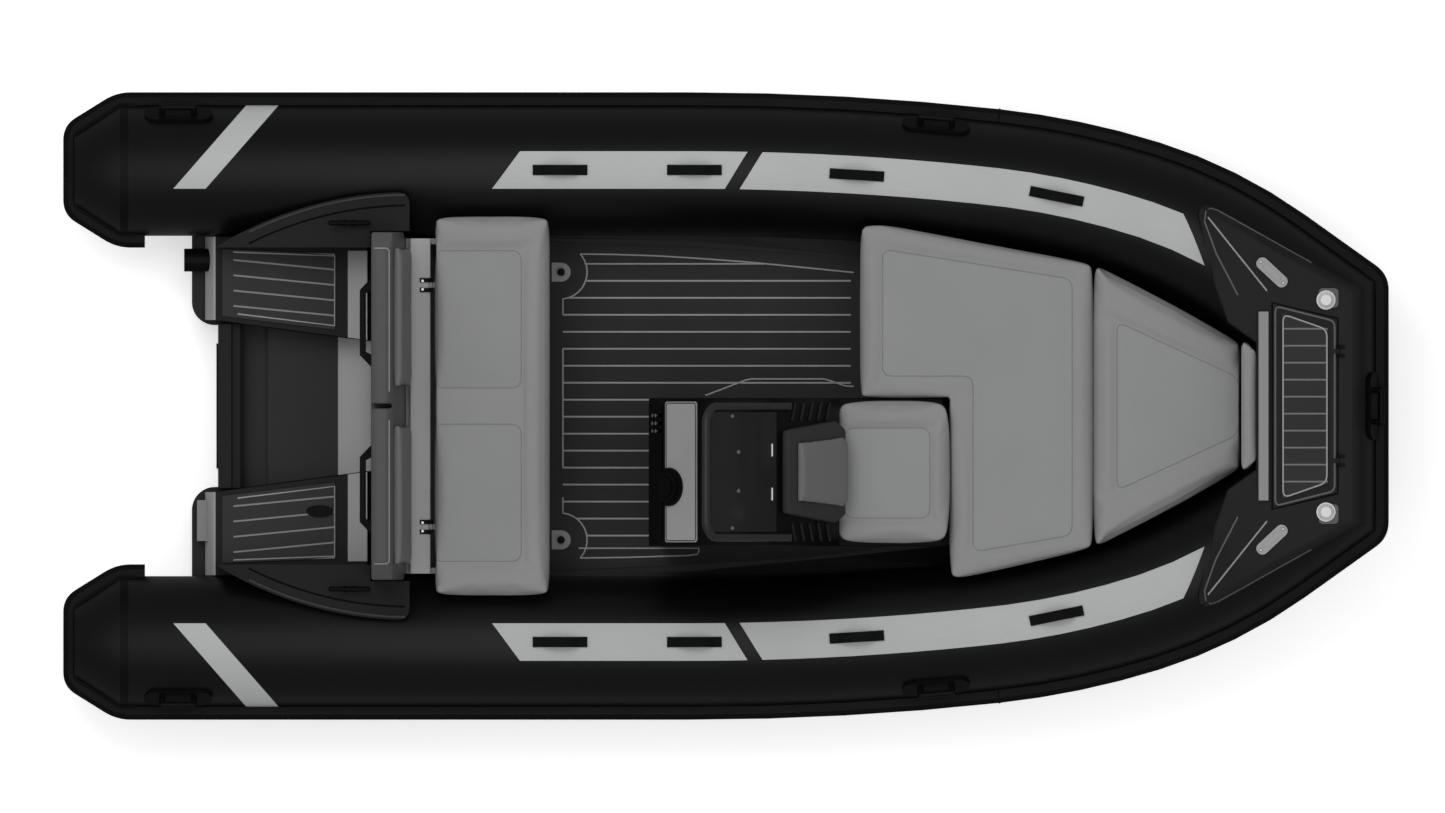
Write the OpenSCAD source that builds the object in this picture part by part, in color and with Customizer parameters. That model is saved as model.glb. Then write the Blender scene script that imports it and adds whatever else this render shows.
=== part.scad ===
// Open rigid inflatable boat: aluminium V hull, inflated collar, aft bench, offset console, bow cushions
// +X is forward, +Y is port, +Z is up, and z = 0 is the waterline. Millimetres.

/* [Collar] */
// Diameter of the buoyancy tube
tube_d = 458; // [440:1:470]
// Distance of each side tube's centreline from the boat's middle
tube_y = 820; // [800:1:840]
// Height of the tube centreline above the waterline, aft
collar_z = 300; // [290:1:320]
// Rise of the tube centreline from the straight part to the bow
sheer_rise = 120; // [90:1:125]
// Front tube centreline, forward of the middle
bow_x = 2029; // [2010:1:2060]
// Start of the stern cones, aft of the middle
cone_x = 2109; // [2060:1:2160]
// Length of each stern cone
cone_l = 156; // [120:1:190]
// Diameter of each cone's flat end
cone_end_d = 264; // [220:1:300]
// Thickness of the rub strake
strake_t = 41; // [30:1:50]
// Height of the rub strake
strake_h = 90; // [70:1:110]
// Width of the crown patches
patch_w = 128; // [100:1:150]

/* [Hull] */
// Depth of the keel below the waterline
keel_depth = 220; // [180:1:260]
// Height of the deck above the waterline
deck_z = 170; // [160:1:180]
// Aft face of the transom, aft of the middle
transom_x = 1768; // [1750:1:1780]
// Thickness of the transom
transom_t = 90; // [60:1:100]
// Height of the transom top above the waterline
transom_z = 300; // [270:1:330]
// Aft end of the hull wings, aft of the middle
wing_x = 1859; // [1840:1:1900]
// Diameter of the hole in the bow eye
eye_d = 24; // [16:1:30]
// Distance of the bow eye's hole from the stem
eye_drop = 46; // [46:1:70]

/* [Stern] */
// Height of the swim platforms above the waterline
platform_z = 330; // [310:1:350]
// Height of the cleat shelf on each quarter
shelf_z = 545; // [540:1:570]
// Diameter of the drain trunk
trunk_d = 80; // [60:1:100]

/* [Bench] */
// Half width of the bench cushion
bench_half = 655; // [620:1:670]
// Front edge of the bench cushion, aft of the middle
bench_front = 618; // [600:1:640]
// Hinge axis of the bench lid, aft of the middle
hinge_x = 1029; // [1025:1:1035]
// Thickness of the bench lid
lid_t = 18; // [14:1:20]
// Thickness of the bench and bow cushions
cushion_t = 72; // [60:1:74]
// Height of the backrest above the waterline
backrest_z = 890; // [840:1:940]
// Wall of the bench box
box_wall = 20; // [10:1:30]

/* [Console] */
// Width of the console
console_w = 514; // [460:1:560]
// Distance of the console's middle to starboard
console_y = 229; // [200:1:250]
// Height of the dash top above the waterline
dash_z = 950; // [920:1:980]
// Height of the console seat cushion
seat_top = 600; // [590:1:604]
// Diameter of the screen rail's tube
rail_d = 28; // [22:1:34]
// Thickness of the windscreen
screen_t = 6; // [4:1:8]

/* [Bow] */
// Height of the bow moulding's top above the waterline
moulding_z = 724; // [715:1:740]
// Thickness of the bow hatch
hatch_t = 12; // [8:1:16]
// Thickness of the deck, platform and hatch pads
pad_t = 6; // [4:1:8]

/* [Hidden] */
$fn = 48;

// Clearances
seat_gap = 0.3;
fabric_gap = 0.7;
move_gap = 6;
eps = 1;

// Collar
tube_r = tube_d / 2;
cone_end_r = cone_end_d / 2;
tube_sides = 40;
bend_x = -130;
bend_steps = 4;
// Bends of the collar's centreline in plan: heading at the end, radius
bends = [[6.2, 9700], [17.3, 2665], [35.5, 1510]];
cockpit_half = tube_y - tube_r;
seat_clear = 13;
// Underside of what overhangs the tubes' shoulders beside the bench
seat_z = collar_z + sqrt(max(0, pow(tube_r, 2) - pow(tube_y - bench_half, 2))) + seat_clear;
cushion_z = seat_z + lid_t + seat_gap;
// Bow seats stand clear of the tubes' shoulders under their cushions' edges
bow_seat_rise = 190;
bow_seat_z = collar_z + bow_seat_rise;
pad_z = deck_z + pad_t;

function lerp(a, b, t) = a + (b - a) * t;
function mirrored(ring) = [for (p = ring) [p[0], -p[1], p[2]]];
function reversed(list) = [for (i = [len(list) - 1:-1:0]) list[i]];
function there_and_back(rings) = concat(rings, [for (r = reversed(rings)) mirrored(r)]);

// Place and heading of the port centreline where each bend starts and ends
function bend_from(i) = i == 0 ? [bend_x, tube_y, 0] : bend_to(i - 1);
function bend_to(i) =
    let (s = bend_from(i), h = bends[i][0], r = bends[i][1])
    [s[0] + r * (sin(h) - sin(s[2])), s[1] - r * (cos(s[2]) - cos(h)), h];
function bend_stations(i) =
    let (s = bend_from(i), r = bends[i][1])
    [for (k = [1:bend_steps]) s[0] + r * (sin(lerp(s[2], bends[i][0], k / bend_steps)) - sin(s[2]))];
// Half breadth and heading of the port centreline at x
function line_at(x, i = 0) =
    x <= bend_x ? [tube_y, 0]
    : i == len(bends) ? let (e = bend_to(i - 1)) [e[1] - (x - e[0]) * tan(e[2]), e[2]]
    : x > bend_to(i)[0] ? line_at(x, i + 1)
    : let (s = bend_from(i), r = bends[i][1], h = asin(sin(s[2]) + (x - s[0]) / r))
    [s[1] - r * (cos(s[2]) - cos(h)), h];
function tube_z(x) = collar_z + sheer_rise * pow(max(0, x - bend_x) / (bow_x - bend_x), 2);
// Outward direction at a station, lengthened at the mitred bow corner
function outward(x) =
    let (h = line_at(x)[1], m = (h + 90) / 2)
    x < bow_x ? [sin(h), cos(h)] : [sin(m), cos(m)] / cos((90 - h) / 2);
// Point at a station, u outboard of the tube's centre and w above it
function on_tube(x, u, w) =
    let (n = outward(x)) [x + n[0] * u, line_at(x)[0] + n[1] * u, tube_z(x) + w];
function tube_ring(x, r) =
    [for (k = [0:tube_sides - 1]) on_tube(x, r * cos(360 * k / tube_sides), r * sin(360 * k / tube_sides))];

// Chambers meet at the end of the first bend
chamber_x = bend_to(0)[0];
side_stations = concat([-cone_x, bend_x], bend_stations(0));
bow_stations = concat([chamber_x], bend_stations(1), bend_stations(2), [bow_x]);
wing_stations = bend_stations(2);

// Rub strake: place on the tube's widest line, and the tube radius that its back follows, 0 at a flat
strake_end_x = -cone_x + 87;
side_strake_line = concat(
    [[strake_end_x, tube_y - tube_r, collar_z, tube_r], [-cone_x, tube_y - tube_r, collar_z, tube_r],
     [-cone_x - cone_l, tube_y - cone_end_r, collar_z, 0],
     [-cone_x - cone_l, tube_y + cone_end_r, collar_z, 0]],
    [for (x = side_stations) concat(on_tube(x, tube_r, 0), tube_r)]);
bow_strake_port = [for (x = bow_stations) concat(on_tube(x, tube_r, 0), tube_r)];
bow_strake_line = concat(bow_strake_port, [for (p = reversed(bow_strake_port)) [p[0], -p[1], p[2], p[3]]]);
rib = 17;
function strake_back(v, r) = r > 0 ? r - sqrt(r * r - v * v) : 0;
function strake_section(r) =
    let (h = strake_h / 2)
    concat([[strake_t - rib, -h], [strake_t, rib - h], [strake_t - rib / 3, -rib / 2],
            [strake_t - rib / 3, rib / 2], [strake_t, h - rib], [strake_t - rib, h]],
           [for (v = [h, h / 2, 0, -h / 2, -h]) [fabric_gap - strake_back(v, r), v]]);
// Left-hand normal of a step in plan
function left_of(a, b) = let (d = [b[0] - a[0], b[1] - a[1]]) [-d[1], d[0]] / norm(d);
function strake_rings(line, first, last) =
    [for (i = [0:len(line) - 1])
        let (n1 = i == 0 ? first : left_of(line[i - 1], line[i]),
             n2 = i == len(line) - 1 ? last : left_of(line[i], line[i + 1]),
             m = (n1 + n2) / (1 + n1 * n2), p = line[i])
        [for (q = strake_section(p[3])) [p[0] + m[0] * q[0], p[1] + m[1] * q[0], p[2] + q[1]]]];

// Hull sections: tube station, x and z of the keel, half breadth and z of the chine,
// half breadth of the deck
stem_x = bow_x - 99;
hull_sections = [
    [-transom_x, -transom_x, -keel_depth, 640, 15, 600],
    [bend_x, bend_x, -keel_depth, 640, 15, 575],
    [bend_stations(0)[1], 390, -keel_depth + 3, 625, 20, 525],
    [chamber_x, 890, -keel_depth + 22, 565, 45, 470],
    [bend_stations(1)[1], 1150, -keel_depth + 62, 480, 85, 415],
    [bend_stations(1)[3], 1390, -keel_depth + 125, 380, 125, 345],
    [wing_stations[1], 1620, -keel_depth + 215, 265, 160, 240],
    [wing_stations[3], 1800, -keel_depth + 310, 140, 180, 155],
    [bow_x, stem_x, -keel_depth + 400, 50, 190, 120]];
rail_w = 28;
chine_w = 45;
// Least height of the deck over the keel, where the stem rises
stem_deck = 55;
seat_angles = [210, 220, 230, 240, 250];
// Radius of the tube's seat, with more room where the sheer rises between sections
sheer_room = 3.5;
function seat_r(x) = (tube_r + fabric_gap + (x > bend_x ? sheer_room : 0)) / cos(5);
function hull_half(s) =
    let (r = seat_r(s[0]),
         inner = on_tube(s[0], r * cos(seat_angles[0]), 0)[0],
         keel = [s[1], 0, s[2]],
         chine = [s[1], s[3], s[4]],
         rail = lerp(keel, chine, 0.5))
    concat([[inner, s[5], max(deck_z, s[2] + stem_deck)]],
           [for (a = seat_angles) on_tube(s[0], r * cos(a), r * sin(a))],
           [chine, chine - [0, min(chine_w, s[3] / 3), 3], rail + [0, min(rail_w, s[3] / 5), 1],
            rail, keel]);

// Light-grey crown patches: x of the inboard edge's ends, x of the outboard edge's ends
patch_t = 3;
patches = [[-816, -7, -719, 70], [45, 1690, 122, 1560]];
patch_rows = 6;
patch_r = (tube_r + fabric_gap + 0.2) / cos(asin(patch_w / tube_d) / patch_rows);
function patch_ring(p, t) =
    let (r1 = patch_r, r2 = r1 + patch_t,
         row = function (j, r)
             let (f = j / patch_rows, a = lerp(-1, 1, f) * asin(patch_w / tube_d),
                  x = lerp(lerp(p[0], p[2], f), lerp(p[1], p[3], f), t))
             on_tube(x, r * sin(a), r * cos(a)))
    concat([for (j = [0:patch_rows]) row(j, r1)], [for (j = [patch_rows:-1:0]) row(j, r2)]);

// Bow moulding sections: place along its stations, inboard and outboard edge from the crown,
// height of the top
moulding_stations = concat(wing_stations, [bow_x]);
moulding_in = -190;
moulding_sections = [
    [0.6, 85, 125, collar_z + 308], [1, 20, 131, moulding_z - 74], [2, -110, 131, moulding_z - 20],
    [3, moulding_in, 135, moulding_z], [4, moulding_in, 173, moulding_z]];
moulding_steps = 4;
moulding_rows = 14;
moulding_gap = fabric_gap + 1;
// Point on the straight tube skin between two stations
function on_span(k, u, w) =
    let (i = min(floor(k), len(moulding_stations) - 2))
    lerp(on_tube(moulding_stations[i], u, w), on_tube(moulding_stations[i + 1], u, w), k - i);
function moulding_ring(s) =
    let (top = s[3] - on_span(s[0], 0, 0)[2], edge = min(30, (s[2] - s[1]) / 4),
         a1 = asin(s[1] / (tube_r + moulding_gap)), a2 = asin(s[2] / (tube_r + moulding_gap)),
         r = (tube_r + moulding_gap) / cos((a2 - a1) / moulding_rows / 2))
    concat([for (j = [0:moulding_rows]) let (a = lerp(a1, a2, j / moulding_rows))
                on_span(s[0], r * sin(a), r * cos(a))],
           [on_span(s[0], s[2], r * cos(a2) + 6), on_span(s[0], s[2] - edge, top - 4),
            on_span(s[0], s[2] - 1.6 * edge, top), on_span(s[0], s[1] + edge / 5, top),
            on_span(s[0], s[1], top - 8)]);
moulding_rings = concat(
    [for (i = [0:len(moulding_sections) - 2], t = [0:moulding_steps - 1])
        moulding_ring(lerp(moulding_sections[i], moulding_sections[i + 1], t / moulding_steps))],
    [moulding_ring(moulding_sections[len(moulding_sections) - 1])]);

// Bow hatch, in plan
hatch_aft = bow_x - 132;
hatch_fore = bow_x + 90;
hatch_half = 356;
hatch_slant = 55;
hatch_z = moulding_z - hatch_t;
hatch_knuckle_r = 5;
hatch_pin_r = 2.2;
hatch_hinge_w = 44;
hatch_hinge_mid = 8;
hatch_leaf = 24;
hatch_hinge_ys = [-190, 190];
hatch_hinge_x = hatch_fore + move_gap / 2;
hatch_hinge_z = moulding_z + hatch_knuckle_r + seat_gap;
locker_floor = collar_z + sheer_rise + tube_r + 8;

// Stern
platform_aft = transom_x + 7;
platform_fore = 1250;
quarter_in_aft = 299;
quarter_in_fore = 229;
well_in = 3;
ledge_x = transom_x + 49;
side_clear = 3;
quarter_out = cockpit_half - side_clear;

// Bench
box_top = seat_z - 5;
bench_aft = hinge_x - 15;
bar_w = 70;
bar_aft = hinge_x + bar_w;
bar_top = seat_z + lid_t;
knuckle_r = 7;
hinge_z = bar_top + knuckle_r + seat_gap;
hinge_pin_r = 3;
hinge_fit = 0.1;
hinge_ys = [-420, 420];
hinge_w = 50;
hinge_mid = 9;
leaf_t = 3;
backrest_front = bar_aft + 17;
backrest_aft = backrest_front + 120;
backrest_lean = 50;
backrest_t = 72;
back_pad_t = 22;
backrest_half = 604;

// Console
console_in = -console_y + console_w / 2;
console_out = -console_y - console_w / 2;
fascia_aft = -271;
fascia_top = [-219, dash_z - 120];
fascia_foot = dash_z - 250;
dash_top = [-97, dash_z];
cowl = [[-40, dash_z + 25], [60, dash_z + 40], [150, dash_z + 30]];
seat_slope_top = [185, dash_z - 10];
seat_slope_foot = [392, seat_top + 12];
seat_base_z = seat_top - 80;
seat_aft = 378;
seat_front = 752;
rail_top = [-73, dash_z + 300];
rail_foot = [226, dash_z - 60];
rail_half = 228;
rail_bend = 60;

module both_sides() {
    children();
    mirror([0, 1, 0]) children();
}
// Extrudes an x-z profile from y0 to y1
module across(y0, y1) {
    translate([0, y1, 0]) rotate([90, 0, 0]) linear_extrude(y1 - y0) children();
}
module round_rect(x0, y0, x1, y1, r) {
    translate([x0 + r, y0]) square([x1 - x0 - 2 * r, y1 - y0]);
    translate([x0, y0 + r]) square([x1 - x0, y1 - y0 - 2 * r]);
    for (x = [x0 + r, x1 - r], y = [y0 + r, y1 - r]) translate([x, y]) circle(r);
}
// Closed surface through rings that turn from outboard to upwards; a strip is thin and closed row by row
module skin(rings, strip = false) {
    n = len(rings[0]);
    m = len(rings);
    sides = [for (i = [0:m - 2], j = [0:n - 1])
        let (a = i * n + j, b = i * n + (j + 1) % n, c = (i + 1) * n + (j + 1) % n, d = (i + 1) * n + j)
        each [[a, d, c], [a, c, b]]];
    aft = !strip ? [[for (j = [0:n - 1]) j]]
        : [for (j = [0:n / 2 - 2]) each [[j, j + 1, n - 1 - j], [j + 1, n - 2 - j, n - 1 - j]]];
    fore = [for (f = aft) [for (j = reversed(f)) (m - 1) * n + j]];
    polyhedron([for (r = rings) each r], concat(sides, aft, fore));
}
// Closed surface through half sections mirrored about the centreline, c the chine's place in a half
module mirrored_skin(halves, c) {
    k = len(halves[0]) - 1;
    n = 2 * k + 1;
    m = len(halves);
    rings = [for (h = halves) concat(mirrored([for (j = [0:k - 1]) h[j]]), reversed(h))];
    sides = [for (i = [0:m - 2], j = [0:n - 1])
        let (a = i * n + j, b = i * n + (j + 1) % n, c = (i + 1) * n + (j + 1) % n, d = (i + 1) * n + j)
        each [[a, d, c], [a, c, b]]];
    aft = concat(
        [for (j = [0:c - 2]) each [[j, j + 1, c], [n - 2 - j, n - 1 - j, n - 1 - c]]],
        [[0, c, n - 1 - c], [0, n - 1 - c, n - 1]],
        [for (j = [c:k - 1]) each j == k - 1 ? [[j, j + 1, j + 2]]
            : [[j, j + 1, n - 1 - j], [j + 1, n - 2 - j, n - 1 - j]]]);
    fore = [for (f = aft) [for (j = [2:-1:0]) (m - 1) * n + f[j]]];
    polyhedron([for (r = rings) each r], concat(sides, aft, fore));
}
// Stands children on the tube: x along the boat, a degrees up from outboard, h off the skin
module on_collar(x, a, h) {
    pitch = atan(2 * sheer_rise * max(0, x - bend_x) / pow(bow_x - bend_x, 2) * cos(line_at(x)[1]));
    translate(on_tube(x, 0, 0)) rotate([0, -pitch, -line_at(x)[1]]) rotate([a - 90, 0, 0])
        translate([0, 0, tube_r + h]) children();
}

// Hull

// Stern wing beside the engine, a straight run of the first section, round at its inner corner
module hull_wing() {
    notch = 281;
    corner = 80;
    half = hull_half(hull_sections[0]);
    keel = half[len(half) - 1];
    rail = half[len(half) - 2];
    section = concat([[notch, deck_z]], [for (i = [0:len(half) - 2]) [half[i][1], half[i][2]]],
                     [[notch, lerp(keel[2], rail[2], notch / rail[1])]]);
    intersection() {
        translate([-wing_x, 0, 0]) rotate([90, 0, 90]) linear_extrude(wing_x - transom_x) polygon(section);
        translate([0, 0, -keel_depth]) linear_extrude(keel_depth + collar_z) {
            translate([corner - wing_x, notch]) square([wing_x - transom_x, tube_y]);
            translate([-wing_x, notch + corner]) square([wing_x, tube_y]);
            translate([corner - wing_x, notch + corner]) circle(corner);
        }
    }
}
module boat_hull() {
    color("dimgray") {
        mirrored_skin([for (s = hull_sections) hull_half(s)], len(seat_angles) + 1);
        both_sides() hull_wing();
    }
}
module transom() {
    half = quarter_in_aft - 14;
    lip = 14;
    color("dimgray") across(-half, half) polygon([
        [-transom_x, deck_z], [-transom_x + transom_t, deck_z], [-transom_x + transom_t, transom_z - 40],
        [-transom_x + transom_t - lip, transom_z - 20], [-transom_x + 50, transom_z - 20],
        [-transom_x + 46, transom_z], [-transom_x, transom_z]]);
}
module motor_pad() {
    thick = 6;
    color("black") translate([-transom_x, 0, transom_z]) rotate([0, -90, 0]) linear_extrude(thick)
        round_rect(-330, -217, 0, 217, 20);
}
module well_tray() {
    aft = -transom_x + transom_t;
    tray_x = -1595;
    wall_x = -1356;
    fore = -backrest_aft - seat_gap;
    floor_z = deck_z + 12;
    tray_z = deck_z + 45;
    wall_r = -wall_x + fore;
    color("dimgray") intersection() {
        across(-quarter_in_aft, quarter_in_aft) difference() {
            translate([aft, deck_z]) square([fore - aft, platform_z - deck_z]);
            translate([aft - eps, floor_z]) square([tray_x - aft + eps, platform_z]);
            translate([tray_x - eps, tray_z]) square([wall_x - tray_x + eps, platform_z]);
            translate([wall_x, tray_z + wall_r]) circle(wall_r);
        }
        translate([0, 0, deck_z]) linear_extrude(platform_z) polygon([
            [-platform_aft, -quarter_in_aft + well_in], [-platform_fore, -quarter_in_fore + well_in],
            [-platform_fore + 60, -quarter_in_fore + well_in],
            [-platform_fore + 60, quarter_in_fore - well_in],
            [-platform_fore, quarter_in_fore - well_in], [-platform_aft, quarter_in_aft - well_in]]);
    }
}
trunk_y = 507;
trunk_z = deck_z + trunk_d / 2 + 18;
module drain_trunk() {
    aft = -1886;
    color("black") difference() {
        translate([aft, trunk_y, trunk_z]) rotate([0, 90, 0]) cylinder(d = trunk_d, h = 100);
        translate([aft - eps, trunk_y, trunk_z]) rotate([0, 90, 0]) cylinder(d = trunk_d - 16, h = 60);
        across(trunk_y - trunk_d, trunk_y + trunk_d) quarter_profile();
    }
}
module anode() {
    thick = 24;
    color("silver") difference() {
        translate([-ledge_x - thick, -469, deck_z]) cube([thick + 40, 142, 60]);
        across(-500, -300) quarter_profile();
    }
}
// Eye plate welded under the stem, its back along the keel line between the last two sections
module bow_eye() {
    plate = 14;
    low = [hull_sections[7][1], hull_sections[7][2]];
    high = [hull_sections[8][1], hull_sections[8][2]];
    along = (high - low) / norm(high - low);
    off = [along[1], -along[0]];
    a = lerp(low, high, 0.1) + off * seat_gap;
    b = lerp(low, high, 0.8) + off * seat_gap;
    c = lerp(low, high, 0.5) + off * eye_drop;
    rim = eye_d / 2 + 14;
    color("silver") translate([0, plate / 2, 0]) rotate([90, 0, 0]) linear_extrude(plate) difference() {
        union() {
            translate(c) circle(rim);
            polygon([a, c - along * rim, c + along * rim, b]);
        }
        translate(c) circle(d = eye_d);
    }
}

// Collar

module side_tube() {
    color([0.05, 0.05, 0.055]) skin(concat([tube_ring(-cone_x - cone_l, cone_end_r)],
        [for (x = side_stations) tube_ring(x, tube_r)]));
}
module port_tube() side_tube();
module starboard_tube() mirror([0, 1, 0]) side_tube();
module bow_tube() {
    color([0.05, 0.05, 0.055]) skin(there_and_back([for (x = bow_stations) tube_ring(x, tube_r)]));
}
module side_strake() {
    h = line_at(chamber_x)[1];
    color([0.09, 0.09, 0.09]) skin(strake_rings(side_strake_line, [0, -1], [sin(h), cos(h)]));
}
module port_strake() side_strake();
module starboard_strake() mirror([0, 1, 0]) side_strake();
module bow_strake() {
    h = line_at(chamber_x)[1];
    color([0.09, 0.09, 0.09]) skin(strake_rings(bow_strake_line, [sin(h), cos(h)], [sin(h), -cos(h)]));
}
module tube_patches() {
    patch_steps = 14;
    color("lightgray") both_sides() for (p = patches)
        skin([for (i = [0:patch_steps]) patch_ring(p, i / patch_steps)], true);
}
// Webbing handle: a strap arched between two sewn tabs
module webbing_handle() {
    length = 190;
    width = 36;
    strap = 4;
    tab = 32;
    span = length - 2 * tab;
    rise = 26;
    r = (span * span / 4 + rise * rise) / (2 * rise);
    translate([0, width / 2, 0]) rotate([90, 0, 0]) linear_extrude(width) {
        for (x = [-length / 2, span / 2 - strap]) translate([x, 0]) square([tab + strap, strap]);
        intersection() {
            translate([0, rise - r]) difference() {
                circle(r + strap, $fn = 96);
                circle(r, $fn = 96);
            }
            translate([-span / 2, 0]) square([span, rise + 2 * strap]);
        }
    }
}
module webbing_handles() {
    color("black") both_sides() for (x = [-580, -113, 458, 1160])
        on_collar(x, 90, patch_r - tube_r + patch_t + 0.4) webbing_handle();
}
// Carry handle: an oval rubber base with a raised grip
module carry_handle() {
    length = 236;
    width = 76;
    base = 9;
    grip_r = 11;
    grip = 110;
    lift = 34;
    difference() {
        union() {
            translate([0, 0, -6]) linear_extrude(6 + base)
                round_rect(-length / 2, -width / 2, length / 2, width / 2, width / 2 - 1);
            translate([-grip / 2, 0, lift]) rotate([0, 90, 0]) cylinder(r = grip_r, h = grip);
            for (x = [-grip / 2, grip / 2]) {
                translate([x, 0, 0]) cylinder(r = grip_r, h = lift);
                translate([x, 0, lift]) sphere(grip_r);
            }
        }
        translate([-length, 0, -tube_r - fabric_gap]) rotate([0, 90, 0])
            cylinder(r = tube_r + seat_gap, h = 2 * length, $fn = 96);
    }
}
handle_angle = 34;
bow_handle_angle = 22;
module carry_handles() {
    color("black") {
        both_sides() {
            on_collar(-1907, handle_angle, fabric_gap) carry_handle();
            on_collar(715, handle_angle, fabric_gap) carry_handle();
        }
        translate([bow_x, 0, tube_z(bow_x)]) rotate([0, 0, -90]) rotate([bow_handle_angle - 90, 0, 0])
            translate([0, 0, tube_r + fabric_gap]) carry_handle();
    }
}

// Stern mouldings

// Side view of a quarter, aft wall raked down to the ledge
module quarter_profile() {
    polygon([[-ledge_x, deck_z], [-platform_fore, deck_z], [-platform_fore, platform_z + 40],
             [-platform_fore - 100, platform_z], [-platform_aft, platform_z],
             [-platform_aft - 9, platform_z - 8]]);
}
module quarter() {
    shelf_aft = -platform_aft - 8;
    shelf_fore = -bar_aft - 4;
    shelf_out = 152;
    shelf_r = 1284;
    shelf_fall = 85;
    color([0.17, 0.17, 0.17]) difference() {
        union() {
            intersection() {
                across(quarter_in_fore, quarter_out) quarter_profile();
                translate([0, 0, deck_z]) linear_extrude(platform_z) polygon([
                    [-ledge_x, quarter_in_aft], [-platform_aft, quarter_in_aft],
                    [-platform_fore, quarter_in_fore], [-platform_fore, quarter_out],
                    [-ledge_x, quarter_out]]);
            }
            // Cleat shelf over the tube's shoulder, its outer edge one long sweep aft to the platform
            difference() {
                translate([0, 0, platform_z - 40])
                linear_extrude(shelf_z - platform_z + 40) intersection() {
                    translate([shelf_aft, cockpit_half - 40]) square([shelf_fore - shelf_aft, tube_r]);
                    translate([shelf_fore, cockpit_half + shelf_out - shelf_r]) circle(shelf_r, $fn = 180);
                }
                across(0, 2 * tube_y) polygon([[shelf_aft - eps, shelf_z - shelf_fall], [-1290, shelf_z],
                    [-1290, shelf_z + eps], [shelf_aft - eps, shelf_z + eps]]);
            }
        }
        translate([-cone_x, tube_y, collar_z]) rotate([0, 90, 0])
            cylinder(r = tube_r + fabric_gap, h = cone_x, $fn = 96);
        // Room for the backrest's end
        translate([-backrest_aft - 3, 0, deck_z]) cube([400, max(backrest_half, quarter_out) + 4, 1000]);
        // Room for the rub strake's inboard end
        translate([-cone_x - cone_l, cockpit_half - strake_t - 4, collar_z - strake_h / 2 - 4])
            cube([cone_l + 91, strake_t + 8, strake_h + 8]);
    }
}
module port_quarter() quarter();
module starboard_quarter() mirror([0, 1, 0]) quarter();
plank = 59;
plank_off = 19;
line_w = 6;
line_depth = 1.5;
module platform_pads() {
    color([0.2, 0.2, 0.2]) both_sides() difference() {
        translate([0, 0, platform_z]) linear_extrude(pad_t) polygon([
            [-platform_aft + 22, quarter_in_aft + 14], [-platform_fore - 112, quarter_in_fore + 36],
            [-platform_fore - 112, cockpit_half - 62], [-platform_aft + 22, cockpit_half - 46]]);
        for (i = [0:4])
            translate([-platform_aft + 60, 345 + i * plank * 0.9, platform_z + pad_t - line_depth])
            rotate([0, 0, -5.5]) cube([400, line_w, pad_t]);
    }
}
module horn_cleat(length) {
    post = 14;
    height = 34;
    horn_r = 9;
    for (x = [-length / 8, length / 8]) translate([x, 0, 0])
        cylinder(d1 = post * 1.6, d2 = post, h = height);
    translate([-length / 2, 0, height]) rotate([0, 90, 0]) cylinder(r = horn_r, h = length);
    for (x = [-length / 2, length / 2]) translate([x, 0, height]) sphere(horn_r);
}
module stern_cleats() {
    color("black") both_sides() translate([-1312, cockpit_half + 45, shelf_z]) horn_cleat(130);
}

// Aft bench

module backrest_side() {
    polygon([[-backrest_aft, deck_z], [-backrest_front, deck_z], [-backrest_front, hinge_z + 10],
             [-backrest_front - backrest_lean, backrest_z - 22],
             [-backrest_front - backrest_lean - 18, backrest_z],
             [-backrest_aft + 16, backrest_z], [-backrest_aft, backrest_z - 16]]);
}
// Height over the tubes at which the backrest widens
flare_z = collar_z + tube_r + 12;
module backrest() {
    groove = 16;
    foot_half = min(quarter_out, backrest_half);
    color([0.22, 0.22, 0.22]) difference() {
        union() {
            across(-foot_half, foot_half) backrest_side();
            intersection() {
                across(-backrest_half, backrest_half) backrest_side();
                translate([-1400, -backrest_half, flare_z]) cube([400, 2 * backrest_half, 1000]);
            }
        }
        // Chamfered upper corners
        for (s = [-1, 1]) translate([-backrest_aft - 20, s * backrest_half, backrest_z]) rotate([45, 0, 0])
            translate([0, -45, -45]) cube([400, 90, 90]);
        // Groove between two ribs on the middle
        translate([-1400, -groove / 2, hinge_z + 60]) cube([236, groove, 1000]);
    }
}
// Pads' edges from the middle and from the backrest's end
back_pad_in = 66;
back_pad_out = 52;
module backrest_pads() {
    lean = atan2(backrest_lean, backrest_z - 22 - hinge_z - 10);
    height = backrest_z - hinge_z - 100;
    color("gray") both_sides()
        translate([-backrest_front, back_pad_in, hinge_z + 10]) rotate([0, -lean, 0])
            translate([seat_gap, 0, 25])
                cube([back_pad_t, backrest_half - back_pad_in - back_pad_out, height]);
}
// Trapezoid grab handles on the back of the backrest
module backrest_handles() {
    thick = 24;
    reach = 40;
    bar = 22;
    half = 155;
    taper = 42;
    grip_z = backrest_z - 130;
    color("black") both_sides() translate([-backrest_aft, 290, grip_z]) linear_extrude(thick) difference() {
        polygon([[0, -half], [-reach, taper - half], [-reach, half - taper], [0, half]]);
        polygon([[1, 2 * bar - half], [bar - reach, taper + bar / 2 - half],
                 [bar - reach, half - taper - bar / 2], [1, half - 2 * bar]]);
    }
}
box_front = bench_front + 26;
box_aft = backrest_front - 1;
module bench_box() {
    half = quarter_out - 6;
    color("gray") difference() {
        translate([-box_aft, -half, deck_z]) cube([box_aft - box_front, 2 * half, box_top - deck_z]);
        translate([-box_aft + 60, -half + box_wall, deck_z + box_wall])
            cube([box_aft - box_front - 60 - box_wall, 2 * half - 2 * box_wall, box_top]);
    }
}
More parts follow.
